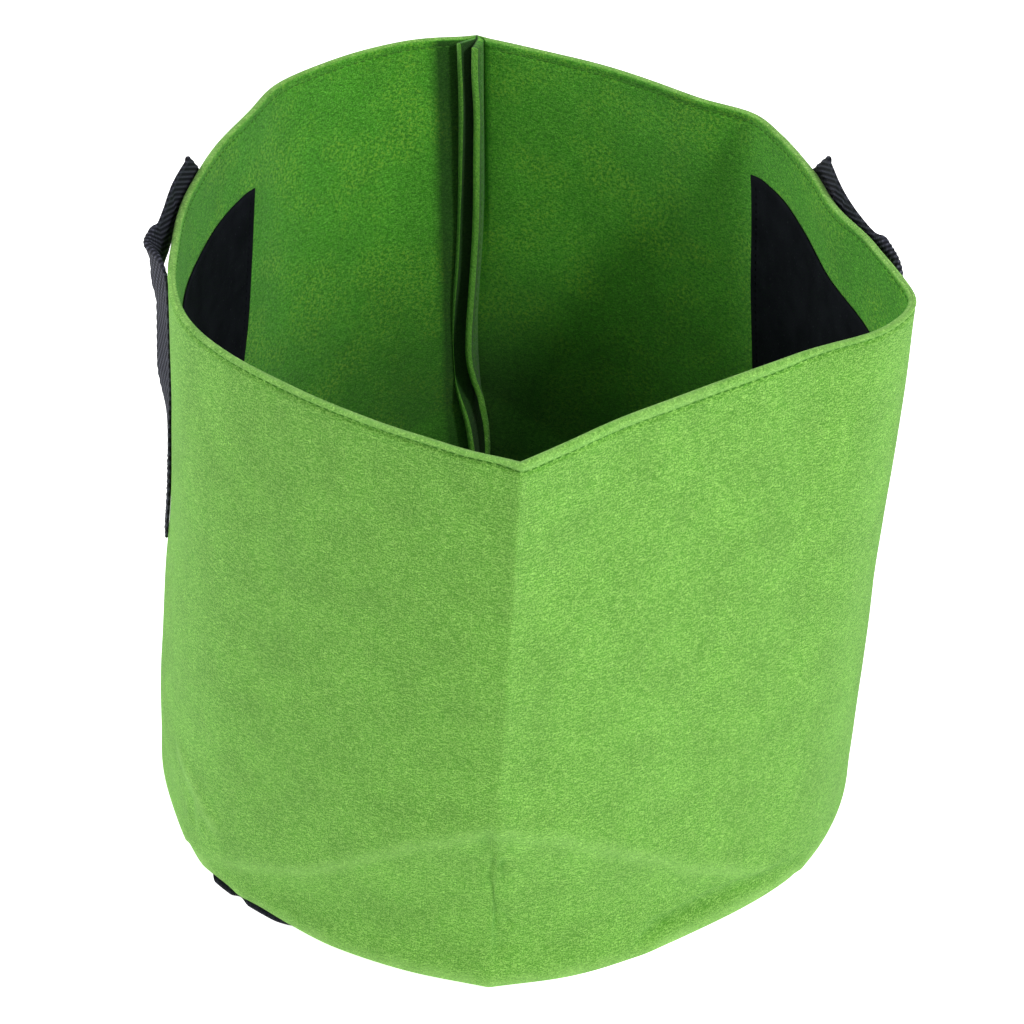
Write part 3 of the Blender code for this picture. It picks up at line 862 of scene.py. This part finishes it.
FIRST_COLUMN = 0.0072  # distance from the back seam
FINE_COLUMNS = 0.018  # distance from the front crease
COLUMNS = (158, 34)  # of each side, and of the fine part


def wall_columns():
    """Places of the wall's columns, closer together round the puckered front crease."""
    fine = FINE_COLUMNS / WALL_LENGTH
    left = np.linspace(FIRST_COLUMN / WALL_LENGTH, 0.5 - fine, COLUMNS[0])
    middle = np.linspace(0.5 - fine, 0.5 + fine, COLUMNS[1])[1:-1]
    return np.concatenate([left, middle, 1 - left[::-1]])


SEAM_ROOT_GAP = 0.00004
SEAM_STRAIGHT = 0.0030
SEAM_CORNER = 0.0006  # how far in the outer face's rounded corner reaches
SEAM_FREE = 0.0122
SEAM_LOWEST = 0.0043
SEAM_LEAN = (0.86, 0.98)  # share of the free depth that leans, and the most it can lean
SEAM_BEND = 0.35  # share of the free depth over which the allowance bends away
SEAM_RIM = (0.15, 1.6)  # how much of the rim's rounding its two faces take
SEAM_INWARD = (0.02, -1.0)  # the level direction in which the allowances stand
SEAM_STEPS = (64, 62, 56, 48, 40, 32, 24, 16, 8, 0)  # of the allowance's columns, from its tip
# Height, then how far left of the seam the middles of the left and the right allowance's tips are
SEAM_TIPS = (
    (0.000, 0.0060, -0.0060), (0.050, 0.0070, -0.0070), (0.078, 0.0066, -0.0082),
    (0.090, 0.0074, -0.0056), (0.103, 0.0124, -0.0018), (0.118, 0.0124, 0.0020),
    (0.136, 0.0119, 0.0018), (0.152, 0.0116, 0.0012), (0.171, 0.0112, 0.0012),
    (0.204, 0.0115, 0.0011), (0.237, 0.0106, 0.0010), (0.267, 0.0095, 0.0002),
    (0.285, 0.0100, 0.0016), (0.300, 0.0105, 0.0010),
)
SEAM_DRIFT = (0.0050, 0.130, 0.055)  # the seam itself bows this far left, at a height, over a reach


def seam_tip(height, side):
    table = np.array(SEAM_TIPS)
    column = 1 if side > 0 else 2
    return sum(np.interp(height + d, table[:, 0], table[:, column]) for d in (-0.007, 0, 0.007)) / 3


def seam_allowance(side):
    """Columns of one seam allowance from its tip to its root, then round into the wall.
    Returns the outer and the inner face, each (rows, columns, 3)."""
    seam = 0.0 if side > 0 else 1.0
    section = [row[:, 0] for row in section_rows(np.array([seam]))]
    out_inset, out_height = section[:2]
    heights = (out_height - out_height[0]) / (BAG_HEIGHT - out_height[0])
    heights = SEAM_LOWEST + heights * (BAG_HEIGHT - SEAM_LOWEST)
    rounding = np.where(heights > BAG_HEIGHT - RIM_ROUND, np.minimum(out_inset, FELT / 2), 0)
    root = felt_point(seam, heights, 0)
    inward = np.array(SEAM_INWARD) / math.hypot(*SEAM_INWARD)
    left = np.array([inward[1], -inward[0]])
    drift = SEAM_DRIFT[0] * bump(heights, *SEAM_DRIFT[1:])
    lean = (seam_tip(heights, side) - side * FELT / 2) / (SEAM_FREE * SEAM_LEAN[0])
    angle = np.arcsin(np.clip(lean, -SEAM_LEAN[1], SEAM_LEAN[1]))
    share = np.linspace(0, 1, SEAM_STEPS[0] + 1)
    turning = angle[:, None] * smoothstep(0.0, SEAM_BEND, share)[None]
    step = SEAM_FREE * share[1]
    aside = np.cumsum(np.sin(turning), 1) * step + side * SEAM_ROOT_GAP
    depth = np.cumsum(np.cos(turning), 1) * step + SEAM_STRAIGHT

    def raised(path):
        plan = root[:, :2] + left * path[:, :1] + inward * path[:, 1:]
        return np.column_stack([plan, root[:, 2]])

    outer = []
    inner = []
    for k in SEAM_STEPS:
        across = np.stack([np.cos(turning[:, k]), -np.sin(turning[:, k])], -1) * side
        middle = np.stack([aside[:, k] + drift, depth[:, k]], -1)
        outer.append(raised(middle + across * (SEAM_RIM[0] * rounding)[:, None]))
        inner.append(raised(middle + across * (FELT - SEAM_RIM[1] * rounding)[:, None]))
    root_aside = side * SEAM_ROOT_GAP + drift
    outer[-1] = raised(np.column_stack([root_aside, np.full(len(drift), SEAM_CORNER)]))
    ends = both_faces(wall_columns()[0 if side > 0 else -1], section)
    for face, end, thickness in zip((outer, inner), ends, (0.0, FELT)):
        straight_end = face[-1]
        corner_aside = (side * (SEAM_ROOT_GAP + thickness) + drift)[:, None]
        corner = root[:, :2] + inward * thickness + left * corner_aside
        corner = np.column_stack([corner, (straight_end[:, 2] + end[:, 2]) / 2])
        for t in smoothstep(0.0, 1.0, np.linspace(0, 1, 7))[1:-1]:
            face.append((1 - t) ** 2 * straight_end + 2 * t * (1 - t) * corner + t**2 * end)
    return np.stack(outer, 1), np.stack(inner, 1)


WEAR_AND_HIGHLIGHT_GRAIN = (0.006, 21)  # size of the patches in which the worn paleness and painted highlights are broken up, and the seed


def wear_and_highlight_of(place, height):
    """Where the felt is worn paler, partly painted highlight: along the folds, the foot's lip and the rim.
    """
    shift = shift_of(place)
    # along the fold line: worn felt and painted highlight
    on_fold = bump(height, fold_height(shift), 0.0045) * smoothstep(0.004, 0.03, fold_height(shift))
    # painted highlight along the front crease
    crease = bump(shift, 0, 0.0035) * smoothstep(0.095, 0.12, height) * 0.10
    # the foot's lip: worn paler, and painted light bounced up from the floor
    foot = smoothstep(0.011, 0.002, height)
    below = height - stitch_height(place)
    # painted highlight along the rim's top
    rim = smoothstep(0.0006, 0.0020, below) * 0.6
    side = 0.5 * line_relief(shift, height, SIDE_CREASE, 0.0045)
    total = np.maximum.reduce([0.55 * on_fold, crease, foot, rim, side])
    broken = 0.75 + 0.35 * noise(shift, height, *WEAR_AND_HIGHLIGHT_GRAIN)
    return np.clip(total * broken, 0, 1)


DEEP_SHADE_HEIGHTS = (0.215, 0.080)  # painted shade: the inner wall darkens between these heights
# Painted shade low on the inner wall: by how much of the way to a gap's darkness, and within what
# distance, right and left of the seam
DEEP_SHADE_ALL = 0.06
DEEP_SHADE_RIGHT = (0.85, 0.120)
DEEP_SHADE_LEFT = (0.62, 0.130)
SEAM_SHADOW = (0.88, 0.0205, 0.0270)  # painted shadow beside the seam: its dark share, and from where to where it ends
DARKEST = 0.95
ALLOWANCE_STEP = 0.0018  # between an allowance's columns, on the cloth
FLANK_SHADE = (1.9, 0.8)  # painted shade on an allowance's inner side: at the tip, and how much less at the root
# Painted shade between the two allowances, and where the gap opens on the outside
GAP_SHADE = (2.0,) * (len(SEAM_STEPS) - 1) + (1.0, 0.4)
# how much paler the allowances' cut tips are painted
TIP_PALE = 0.2
TIP_SHADE = 0.45


def face_values(full, outer, inner):
    """Paleness of worn felt with painted highlights, painted shade and painted fold shade on both faces of
    the wall, as pairs of grids.
    """
    rows, columns = full.shape
    out_level = outer[..., 2] - rim_rise(full, outer[..., 2])
    in_level = inner[..., 2] - rim_rise(full, inner[..., 2])
    at_rim = smoothstep(BAG_HEIGHT - 0.0020, BAG_HEIGHT - 0.0006, in_level)
    tips = np.zeros((rows, columns))
    tips[:, 0] = tips[:, -1] = TIP_PALE
    leftwards = full * WALL_LENGTH
    rightwards = (1 - full) * WALL_LENGTH
    # painted shade low on the inner wall, strongest near the seam
    near = DEEP_SHADE_RIGHT[0] * bump(rightwards, 0, DEEP_SHADE_RIGHT[1])
    near = near + DEEP_SHADE_LEFT[0] * bump(leftwards, 0, DEEP_SHADE_LEFT[1])
    # painted shadow of the left allowance on the wall beside the seam
    seam_shadow = SEAM_SHADOW[0] * (1 - smoothstep(*SEAM_SHADOW[1:], leftwards))
    sunk = np.maximum(smoothstep(*DEEP_SHADE_HEIGHTS, in_level) * (DEEP_SHADE_ALL + near), seam_shadow)
    # the inner face below the rim gets the deeper green of painted shade and bounce light, darkened
    # further by the painted shade
    inner_shade_level = smoothstep(BAG_HEIGHT - 0.0002, BAG_HEIGHT - 0.0012, in_level)
    inner_shade_level = inner_shade_level * (1 + np.minimum(sunk, DARKEST))
    # painted shade on the allowances' inner sides
    allowance = len(SEAM_STEPS)
    flank = FLANK_SHADE[0] - FLANK_SHADE[1] * np.arange(allowance) / allowance
    inner_shade_level[:, :allowance] = np.maximum(inner_shade_level[:, :allowance], flank)
    inner_shade_level[:, -allowance:] = np.maximum(inner_shade_level[:, -allowance:], flank[::-1])
    # painted shade in the gap between the two allowances, on the outer face's columns
    gap = np.zeros((rows, columns))
    gap[:, 1 : len(GAP_SHADE) + 1] = GAP_SHADE
    gap[:, -len(GAP_SHADE) - 1 : -1] = GAP_SHADE[::-1]
    for level in (inner_shade_level, gap):
        level[:, 0] = level[:, -1] = TIP_SHADE
    return {
        "wear_and_highlight": (
            np.maximum(wear_and_highlight_of(full, out_level), tips),
            np.maximum(wear_and_highlight_of(full, in_level) * at_rim, tips),
        ),
        "painted_shade_level": (gap, inner_shade_level),
        "shade": (fold_shade(shift_of(full), out_level), np.zeros((rows, columns))),
    }


def build_wall():
    place = wall_columns()
    section = section_rows(place)
    plain = both_faces(np.broadcast_to(place, section[0].shape), section)
    left, right = seam_allowance(1), seam_allowance(-1)
    outer, inner = (np.concatenate([left[i], plain[i], right[i][:, ::-1]], 1) for i in (0, 1))
    steps = ALLOWANCE_STEP * np.arange(1, left[0].shape[1] + 1)
    ends = place[[0, -1]] * WALL_LENGTH
    along = np.concatenate([ends[0] - steps[::-1], place * WALL_LENGTH, ends[1] + steps])
    full = np.broadcast_to(np.clip(along / WALL_LENGTH, 0, 1), outer.shape[:2])
    u = np.broadcast_to(along, outer.shape[:2])
    uv = (u, outer[..., 2]), (u + 3.0, inner[..., 2] + 1.0)
    values = face_values(full, outer, inner)
    wall = add_sheet("felt_wall", outer, inner, "green_felt", uv, values)
    return fix_to_bag(wall, "green_felt", "wall_panel")


# ---------------------------------------------------------------- the base

BASE_INSET = 0.0095
BARE_INSET = 0.0012
BARE_MARGIN = 0.005  # beyond the lifted part of the foot, on both sides
BASE_COLUMNS = (120, 180, 220)  # before, along and after the lifted part
BASE_RINGS = (0.02, *np.linspace(0.08, 0.97, 26), 0.985, 0.994, 0.999, 1.0)
BASE_ROUND = 0.0006
BASE_SWELL = (0.0005, 0.030, 8)  # height and size of the base's unevenness, and its seed


def build_base():
    """The black base disc; where the wall's foot is lifted it reaches out to the wall."""
    bared = np.array([LIFTS[0][0] - BARE_MARGIN, LIFTS[-1][0] + BARE_MARGIN])
    marks = (0, *(0.5 + bared / WALL_LENGTH), 1)
    spans = zip(marks, marks[1:], BASE_COLUMNS)
    place = np.concatenate([np.linspace(*span)[:-1] for span in spans])
    bare = smoothstep(0.0, 0.85, lifted(shift_of(place)))
    inset = BASE_INSET + (BARE_INSET - BASE_INSET) * bare
    plan = wall_plan(place, 0.0) - wall_outward(place, 0.0) * inset[:, None]
    top = []
    bottom = []
    for share in BASE_RINGS:
        ring = plan * share
        rounding = BASE_ROUND * smoothstep(0.985, 1.0, share)
        swell = BASE_SWELL[0] * noise(ring[:, 0], ring[:, 1], *BASE_SWELL[1:])
        swell = np.maximum(swell * smoothstep(0.0, 0.1, 1 - share), -0.0002)
        top.append(np.column_stack([ring, np.full(len(ring), FELT) - rounding + swell]))
        bottom.append(np.column_stack([ring, np.full(len(ring), rounding)]))
    rows, columns = len(top), len(place)
    count = rows * columns
    points = np.concatenate([*top, *bottom, [[0, 0, FELT], [0, 0, 0]]])
    # fans of triangles close the middle, instead of the strip between the two inmost rings
    inmost = 2 * (rows - 1) * columns
    faces = np.delete(sheet_faces(rows, columns, closed=True), np.s_[inmost : inmost + columns], 0)
    ring = list(range(columns)) + [0]
    fans = [[a, b, 2 * count] for a, b in zip(ring, ring[1:])]
    fans += [[b + count, a + count, 2 * count + 1] for a, b in zip(ring, ring[1:])]
    base = add_mesh("felt_base", points.tolist(), faces.tolist() + fans, "black_felt")
    lay_cloth(base.data, (points[:, :2] + 0.5)[corner_points(base.data)])
    return fix_to_bag(face_outwards(base), "black_felt", "base_panel")


# ---------------------------------------------------------------- the handles

LEG_FACE = 0.0003
STRAP_FLAT = 0.376
FOLD_RADIUS = 0.0010
# How the free loops lie: (distance, lift off the wall at the top, droop there)
LOOP_LIE = {
    "left": (
        (-0.055, 0.0010, 0.0), (-0.031, 0.0012, 0.0), (-0.004, 0.0020, 0.0),
        (0.015, 0.0028, 0.0015), (0.028, 0.0046, 0.0035), (0.040, 0.0053, 0.0),
        (0.048, 0.0022, 0.0), (0.055, -0.0004, 0.0),
    ),
    "right": (
        (-0.055, 0.0030, 0.0), (-0.034, 0.0033, 0.0), (-0.009, 0.0014, 0.0010),
        (0.010, 0.0022, 0.0066), (0.027, 0.0022, 0.0100), (0.036, 0.0026, 0.0098),
        (0.044, 0.0030, 0.0080), (0.055, 0.0024, 0.0060),
    ),
}
# Where a corner of the folded strap stands up: (distance, height, lift, reach)
KNUCKLES = {
    "left": ((0.039, 0.3030, 0.0035, 0.0080),),
    "right": ((0.050, 0.296, 0.0020, 0.0120),),
}
# Where a corner is squarer than folded: (distance, height, reach, shift out, shift up)
CORNERS = {
    "left": ((0.054, 0.290, 0.014, 0.0060, 0.0120),),
    "right": ((0.043, 0.295, 0.012, 0.0065, 0.0080),),
}
HUGS = {"left": 1.0, "right": 0.0}  # how closely the front edge lies on the wall
RIB = 0.0023
RIB_SLANT = math.radians(27)  # of the ribs to the strap's length


def stand_off(side, distance, height):
    """The loop's distance from the wall, which grows from its sewn ends to its top."""
    at, lift, _ = np.array(LOOP_LIE[side]).T
    share = smoothstep(LEG_TOP + 0.004, LEG_TOP + 0.040, height)
    return LEG_FACE + np.interp(distance, at, lift) * share


def droop(side, distance, height):
    """How much lower than straight the loop's upper part hangs."""
    at, _, drop = np.array(LOOP_LIE[side]).T
    return np.interp(distance, at, drop) * smoothstep(0.255, 0.290, height)


def strap_plan(along, across):
    """Where the flat strap lies on the opened-out wall: (distance, height, layer) of its middle.
    It goes up, is folded over at 45 degrees, runs along the top, is folded and goes down."""
    mirrored = along > STRAP_FLAT / 2
    height = LEG_LOW + np.where(mirrored, STRAP_FLAT - along, along)
    outer = GRIP_GAP / 2 + WEBBING_WIDTH
    bend = LOOP_TOP - WEBBING_WIDTH
    past = (height - bend - across) / math.sqrt(2)
    turn = np.clip(past / FOLD_RADIUS, -math.pi / 2, math.pi / 2)
    straight = np.maximum(np.abs(past) - FOLD_RADIUS * math.pi / 2, 0)
    # the fold line's nearest point, then away from it towards the strap's own side
    middle = ((-outer + across) + (height - bend - outer)) / 2
    reach = straight - FOLD_RADIUS * np.cos(turn)
    distance = middle + reach / math.sqrt(2)
    height = middle + outer + bend - reach / math.sqrt(2)
    return np.where(mirrored, -distance, distance), height, FOLD_RADIUS * np.sin(turn)


def handle_place(side, distance):
    place = PLACE_LEFT + distance / WALL_LENGTH
    return place if side == "left" else 1 - place


def strap_middle(side, along, across):
    """Points in the middle of the strap's thickness."""
    distance, height, layer = strap_plan(along, across)
    folded = smoothstep(LOOP_TOP - 1.5 * WEBBING_WIDTH, LOOP_TOP - WEBBING_WIDTH, height)
    folded = folded * (1 - HUGS[side] * smoothstep(0.042, 0.054, distance))
    lift = stand_off(side, distance, height) + WEBBING / 2 + (FOLD_RADIUS - layer) * folded
    for at, up, rise, reach in KNUCKLES[side]:
        lift = lift + rise * bump(np.hypot(distance - at, height - up), 0, reach)
    height = height - droop(side, distance, height)
    flat = distance, height
    for at, up, reach, out, rise in CORNERS[side]:
        moved = bump(np.hypot(flat[0] - at, flat[1] - up), 0, reach)
        distance = distance + out * moved
        height = height + rise * moved
    wall_height = np.minimum(height, BAG_HEIGHT - 0.002)
    place = handle_place(side, distance)
    offset = lift + wall_relief(place, wall_height)
    plan = wall_plan(place, wall_height) + wall_outward(place, wall_height) * offset[..., None]
    return np.concatenate([plan, height[..., None]], -1)


STRAP_ROWS = 641
STRAP_COLUMNS = (0, 0.012, *np.linspace(0.035, 0.965, 41), 0.988, 1)  # shares of the width
# Thinning of the webbing, as (share, distance from its edge, reach)
STRAP_EDGE = (0.55, 0.0, 0.0005)
SELVEDGE_GROOVE = (0.12, 0.0024, 0.0005)
SELVEDGE = (0.0012, 0.0005)  # the pale cord's distance from the edge, and its reach
RIB_HEIGHT = 0.00016
RAGGED = (0.0006, 0.004, 31)  # depth and size of the cut ends' unevenness, and its seed


def build_strap(side):
    along = np.linspace(0, STRAP_FLAT, STRAP_ROWS)
    a, c = np.meshgrid(along, WEBBING_WIDTH * np.array(STRAP_COLUMNS), indexing="ij")
    middle = strap_middle(side, a, c)
    normal = np.cross(np.gradient(middle, axis=0), np.gradient(middle, axis=1))
    normal /= np.linalg.norm(normal, axis=-1, keepdims=True)
    edge = np.minimum(c, WEBBING_WIDTH - c)
    half = WEBBING / 2 * (1 - STRAP_EDGE[0] * bump(edge, *STRAP_EDGE[1:]))
    half *= 1 - SELVEDGE_GROOVE[0] * bump(edge, *SELVEDGE_GROOVE[1:])
    rib = np.sin(2 * math.pi * (c * math.cos(RIB_SLANT) - a * math.sin(RIB_SLANT)) / RIB)
    half += RIB_HEIGHT * rib * smoothstep(0.0008, 0.003, edge)
    outer = middle + normal * half[..., None]
    inner = middle - normal * half[..., None]
    ragged = RAGGED[0] * noise(c[0], c[0] * 0, *RAGGED[1:])
    for face in (outer, inner):
        face[[0, -1], :, 2] -= ragged
    rib = (rib + 1) / 2
    pale = bump(edge, *SELVEDGE)
    values = {"rib": (rib, rib), "selvedge": (pale, pale)}
    uv = (a, c), (a + 1.0, c + 1.0)
    strap = add_sheet(f"{side}_handle_strap", outer, inner, "black_webbing", uv, values)
    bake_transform(strap)
    legs = [f"{side}_handle_{end}_leg" for end in ("front", "rear")]
    stand_for(strap, "black_webbing", f"{side}_handle_loop", *legs)


# Each kind of stitching: thread radius, length of a stitch, gap between two
BOX_STITCH = (0.00032, 0.0030, 0.0007)
PATCH_STITCH = (0.00028, 0.0032, 0.0008)
RIM_STITCH = (0.00030, 0.0032, 0.0009)
FOOT_STITCH = SEAM_STITCH = (0.00033, 0.0040, 0.0010)
BOX_MARGINS = (0.0030, 0.0030, 0.0060)  # from the webbing's edge, the leg's low end and its top


def build_box_stitch(side, end):
    """The box of stitches on one sewn leg, with a cross inside it."""
    middle = (GRIP_GAP + WEBBING_WIDTH) / 2 * (1 if end == "front" else -1)
    half = WEBBING_WIDTH / 2 - BOX_MARGINS[0]
    low = LEG_LOW + BOX_MARGINS[1]
    high = LEG_TOP - BOX_MARGINS[2]
    face = LEG_FACE + WEBBING
    a, b, c, d = (-half, low), (half, low), (half, high), (-half, high)
    radius, *pattern = BOX_STITCH
    runs = []
    t = np.linspace(0, 1, 60)
    for (d0, h0), (d1, h1) in ((a, b), (b, c), (c, d), (d, a), (a, c), (b, d)):
        place = handle_place(side, middle + d0 + (d1 - d0) * t)
        height = h0 + (h1 - h0) * t
        runs += sewn_line(place, height, -(face + 0.00012), -(face - 0.0006), pattern)
    name = f"{side}_{end}_box_stitch"
    add_stitches(f"{name}ing", name, runs, radius, "black_thread")


# ---------------------------------------------------------------- the backing patches

# Corners of each patch as (distance, height): top rear, top front, low front, low rear
PATCH_CORNERS = {
    "left": ((-0.0990, 0.2602), (0.0630, 0.2565), (0.0600, 0.1235), (-0.0800, 0.1245)),
    "right": ((-0.0940, 0.2686), (0.0630, 0.2560), (0.0600, 0.1230), (-0.0875, 0.1350)),
}
PATCH_BOW = {"left": 0.0, "right": 0.0030}  # of the top edge, upwards
PATCH_SWAY = {"left": 0.0030, "right": -0.0012}  # of the rear edge, away from the handle
PATCH_CLIP = 0.0014
PATCH_THICKNESS = 0.0012
PATCH_CLEAR = 0.0005
PATCH_WIDTH = 0.163
PATCH_GRID = (66, 52)  # points across and up
PATCH_SEWN = (0.0045, 0.0012)  # the stitches' distance from the edge, and how far they pull it in
PATCH_LOOSE = (0.0006, 0.030, 41)  # height and size of the patch's own relief, and its seed


def patch_at(side, across, up):
    """Distance and height at shares of the patch's width and height, with slightly bowed edges."""
    top_rear, top_front, low_front, low_rear = (np.array(p) for p in PATCH_CORNERS[side])
    sideways = across[..., None]
    low = between(low_rear, low_front, sideways)
    at = between(low, between(top_rear, top_front, sideways), up[..., None])
    bow = 0.0010 * np.sin(across * 7.0 + 1.0) * (up - 0.5)
    bow += PATCH_BOW[side] * bump(across, 0.22, 0.18) * up**3
    clipped = PATCH_CLIP * bump(across, 0, 0.035) * up**12
    waved = (0.0006 * np.sin(up * 9.0) - PATCH_SWAY[side] * np.sin(math.pi * up)) * (1 - across)
    return at[..., 0] + waved, at[..., 1] + bow - clipped


def build_patch(side):
    across, up = (np.linspace(0, 1, count) for count in PATCH_GRID)
    u, a = np.meshgrid(up, across, indexing="ij")
    distance, height = patch_at(side, a, u)
    place = handle_place(side, distance)
    edge = np.minimum(np.minimum(a, 1 - a) * PATCH_WIDTH, np.minimum(u, 1 - u) * PATCH_HEIGHT)
    sewn = bump(edge, *PATCH_SEWN)
    loose = PATCH_LOOSE[0] * smoothstep(0.004, 0.02, edge)
    loose = loose * (0.5 + 0.5 * noise(distance, height, *PATCH_LOOSE[1:]))
    near = FELT + PATCH_CLEAR + loose * 1.6 - 0.0003 * sewn
    thick = PATCH_THICKNESS * (1 - 0.5 * bump(edge, 0, 0.0006)) - 0.0005 * sewn
    outer = felt_point(place, height, near)
    inner = felt_point(place, height, near + thick)
    uv = (distance + 1.0, height + 1.0), (distance, height)
    patch = add_sheet(f"{side}_patch", outer, inner, "patch_fabric", uv, edge_follows=False)
    return fix_to_bag(patch, "patch_fabric", f"{side}_backing_patch")


def build_patch_stitching(side):
    du = PATCH_SEWN[0] / PATCH_WIDTH
    dv = PATCH_SEWN[0] / PATCH_HEIGHT
    corners = (du, dv), (1 - du, dv), (1 - du, 1 - dv), (du, 1 - dv)
    face = FELT + PATCH_CLEAR + PATCH_THICKNESS
    radius, *pattern = PATCH_STITCH
    runs = []
    t = np.linspace(0, 1, 160)
    for (u0, v0), (u1, v1) in zip(corners, corners[1:] + corners[:1]):
        distance, height = patch_at(side, u0 + (u1 - u0) * t, v0 + (v1 - v0) * t)
        place = handle_place(side, distance)
        runs += sewn_line(place, height, face - 0.0005, face - 0.0013, pattern)
    name = f"{side}_patch_stitch"
    add_stitches(f"{name}ing", name, runs, radius, "black_thread")


# ---------------------------------------------------------------- the wall's threads


def build_rim_stitching():
    near_seam = 0.014 / WALL_LENGTH
    place = np.linspace(near_seam, 1 - near_seam, 4000)
    height = stitch_height(place) + 0.0002 * np.sin(place * 60)
    radius, *pattern = RIM_STITCH
    runs = []
    for inset, deeper in ((0.00066, 0.0007), (FELT - 0.00010, -0.0007)):
        runs += sewn_line(place, height, inset, inset + deeper, pattern)
    add_stitches("rim_stitching", "rim_topstitch", runs, radius, "green_thread")


FOOT_STITCH_INSET = 0.0112
FOOT_STITCH_LEVEL = 0.0073  # height of the turned-in foot's upper face


def build_base_stitching():
    turn = 2 * SEAM_CLEAR / WALL_LENGTH
    place = np.linspace(turn, 1 - turn, 3000)
    outward = wall_outward(place, 0.0)
    relief = wall_relief(place, np.full(len(place), FOOT_STITCH_LEVEL))
    plan = wall_plan(place, 0.0) - outward * FOOT_STITCH_INSET + outward * relief[:, None]
    top = np.column_stack([plan, np.full(len(place), 2 * FELT + 0.0005)])
    radius, *pattern = FOOT_STITCH
    runs = dashes(top, *pattern, np.broadcast_to([0, 0, -0.0008], top.shape))
    add_stitches("base_seam_stitching", "base_seam_stitch", runs, radius, "green_thread")


SEAM_STITCH_ROWS = slice(8, -4)
SEAM_STITCH_COLUMN = 4


def build_seam_stitching():
    """Stitches through both seam allowances, seen on their outer sides."""
    radius, *pattern = SEAM_STITCH
    for side, thread in ((1, "needle"), (-1, "bobbin")):
        inner = seam_allowance(side)[1][SEAM_STITCH_ROWS]
        line = inner[:, SEAM_STITCH_COLUMN]
        across = inner[:, SEAM_STITCH_COLUMN + 1] - line
        run = line[1:] - line[:-1]
        away = np.cross(across, np.vstack([run, run[-1:]]))
        away /= np.linalg.norm(away, axis=1, keepdims=True)
        away = away * np.sign((away[:, 0] * -side).sum())
        dense = np.linspace(0, len(line) - 1, 1500)
        index = np.arange(len(line))
        surface = resample(dense, index, line + away * 0.00012)
        runs = dashes(surface, *pattern, resample(dense, index, -away * 0.0008))
        name = f"back_seam_{thread}"
        add_stitches(f"{name}_stitching", f"{name}_thread", runs, radius, "green_thread")


# ---------------------------------------------------------------- camera, light and floor


LENS = 91.41  # mm, before a sensor of the usual 36 mm
CAMERA_PLACE = (0.00622, -1.0336, 0.8948)
CAMERA_TILT = math.radians(54)
LIGHTS_AIM = (0, 0, 0.12)
# Name, place, diameter and power
LIGHTS = (
    ("right_softbox", (1.9, -0.95, 1.2), 1.2, 10),
    ("key_light", (1.25, -1.0, 1.65), 0.30, 22),
    ("left_softbox", (-2.0, 0.75, 1.1), 1.2, 30),
    ("fill_light", (-1.7, -0.45, 1.6), 0.60, 3),
    ("top_softbox", (0.0, -0.2, 2.2), 1.6, 8),
)
WORLD_LIGHT = 0.30
FLOOR_REACH = 4.0
FLOOR_LOOK = {
    "Base Color": (0.92, 0.92, 0.92, 1),
    "Roughness": 0.9,
    "Specular IOR Level": 0.0,
    "Emission Color": (1, 1, 1, 1),
    "Emission Strength": 0.9,
}


def add_camera():
    data = bpy.data.cameras.new("camera")
    data.lens = LENS
    data.sensor_width = 36
    camera = bpy.data.objects.new("camera", data)
    camera.location = CAMERA_PLACE
    camera.rotation_euler = (CAMERA_TILT, 0, 0)
    bpy.context.scene.collection.objects.link(camera)
    bpy.context.scene.camera = camera


def add_light(name, location, size, power):
    data = bpy.data.lights.new(name, "AREA")
    data.shape = "DISK"
    data.size = size
    data.energy = power
    light = bpy.data.objects.new(name, data)
    light.location = location
    aim = Vector(LIGHTS_AIM) - light.location
    light.rotation_euler = aim.to_track_quat("-Z", "Y").to_euler()
    bpy.context.scene.collection.objects.link(light)


def add_floor():
    mesh = bpy.data.meshes.new("floor")
    corners = [(x * FLOOR_REACH, y * FLOOR_REACH, 0) for x, y in ((-1, -1), (1, -1), (1, 1), (-1, 1))]
    mesh.from_pydata(corners, [], [(0, 1, 2, 3)])
    finish = bpy.data.materials.new("floor")
    finish.use_nodes = True
    inputs = finish.node_tree.nodes["Principled BSDF"].inputs
    for key, value in FLOOR_LOOK.items():
        inputs[key].default_value = value
    mesh.materials.append(finish)
    floor = bpy.data.objects.new("floor", mesh)
    bpy.context.scene.collection.objects.link(floor)


def add_studio():
    scene = bpy.context.scene
    scene.view_settings.view_transform = "Standard"
    world = bpy.data.worlds.new("studio")
    scene.world = world
    world.use_nodes = True
    background = world.node_tree.nodes["Background"]
    background.inputs["Color"].default_value = (1, 1, 1, 1)
    background.inputs["Strength"].default_value = WORLD_LIGHT
    for light in LIGHTS:
        add_light(*light)
    add_floor()


add_camera()
WALL = build_wall()
BASE = build_base()
for handle_side in ("left", "right"):
    build_patch(handle_side)
    build_patch_stitching(handle_side)
    build_strap(handle_side)
    for leg in ("front", "rear"):
        build_box_stitch(handle_side, leg)
build_rim_stitching()
build_base_stitching()
build_seam_stitching()
add_studio()
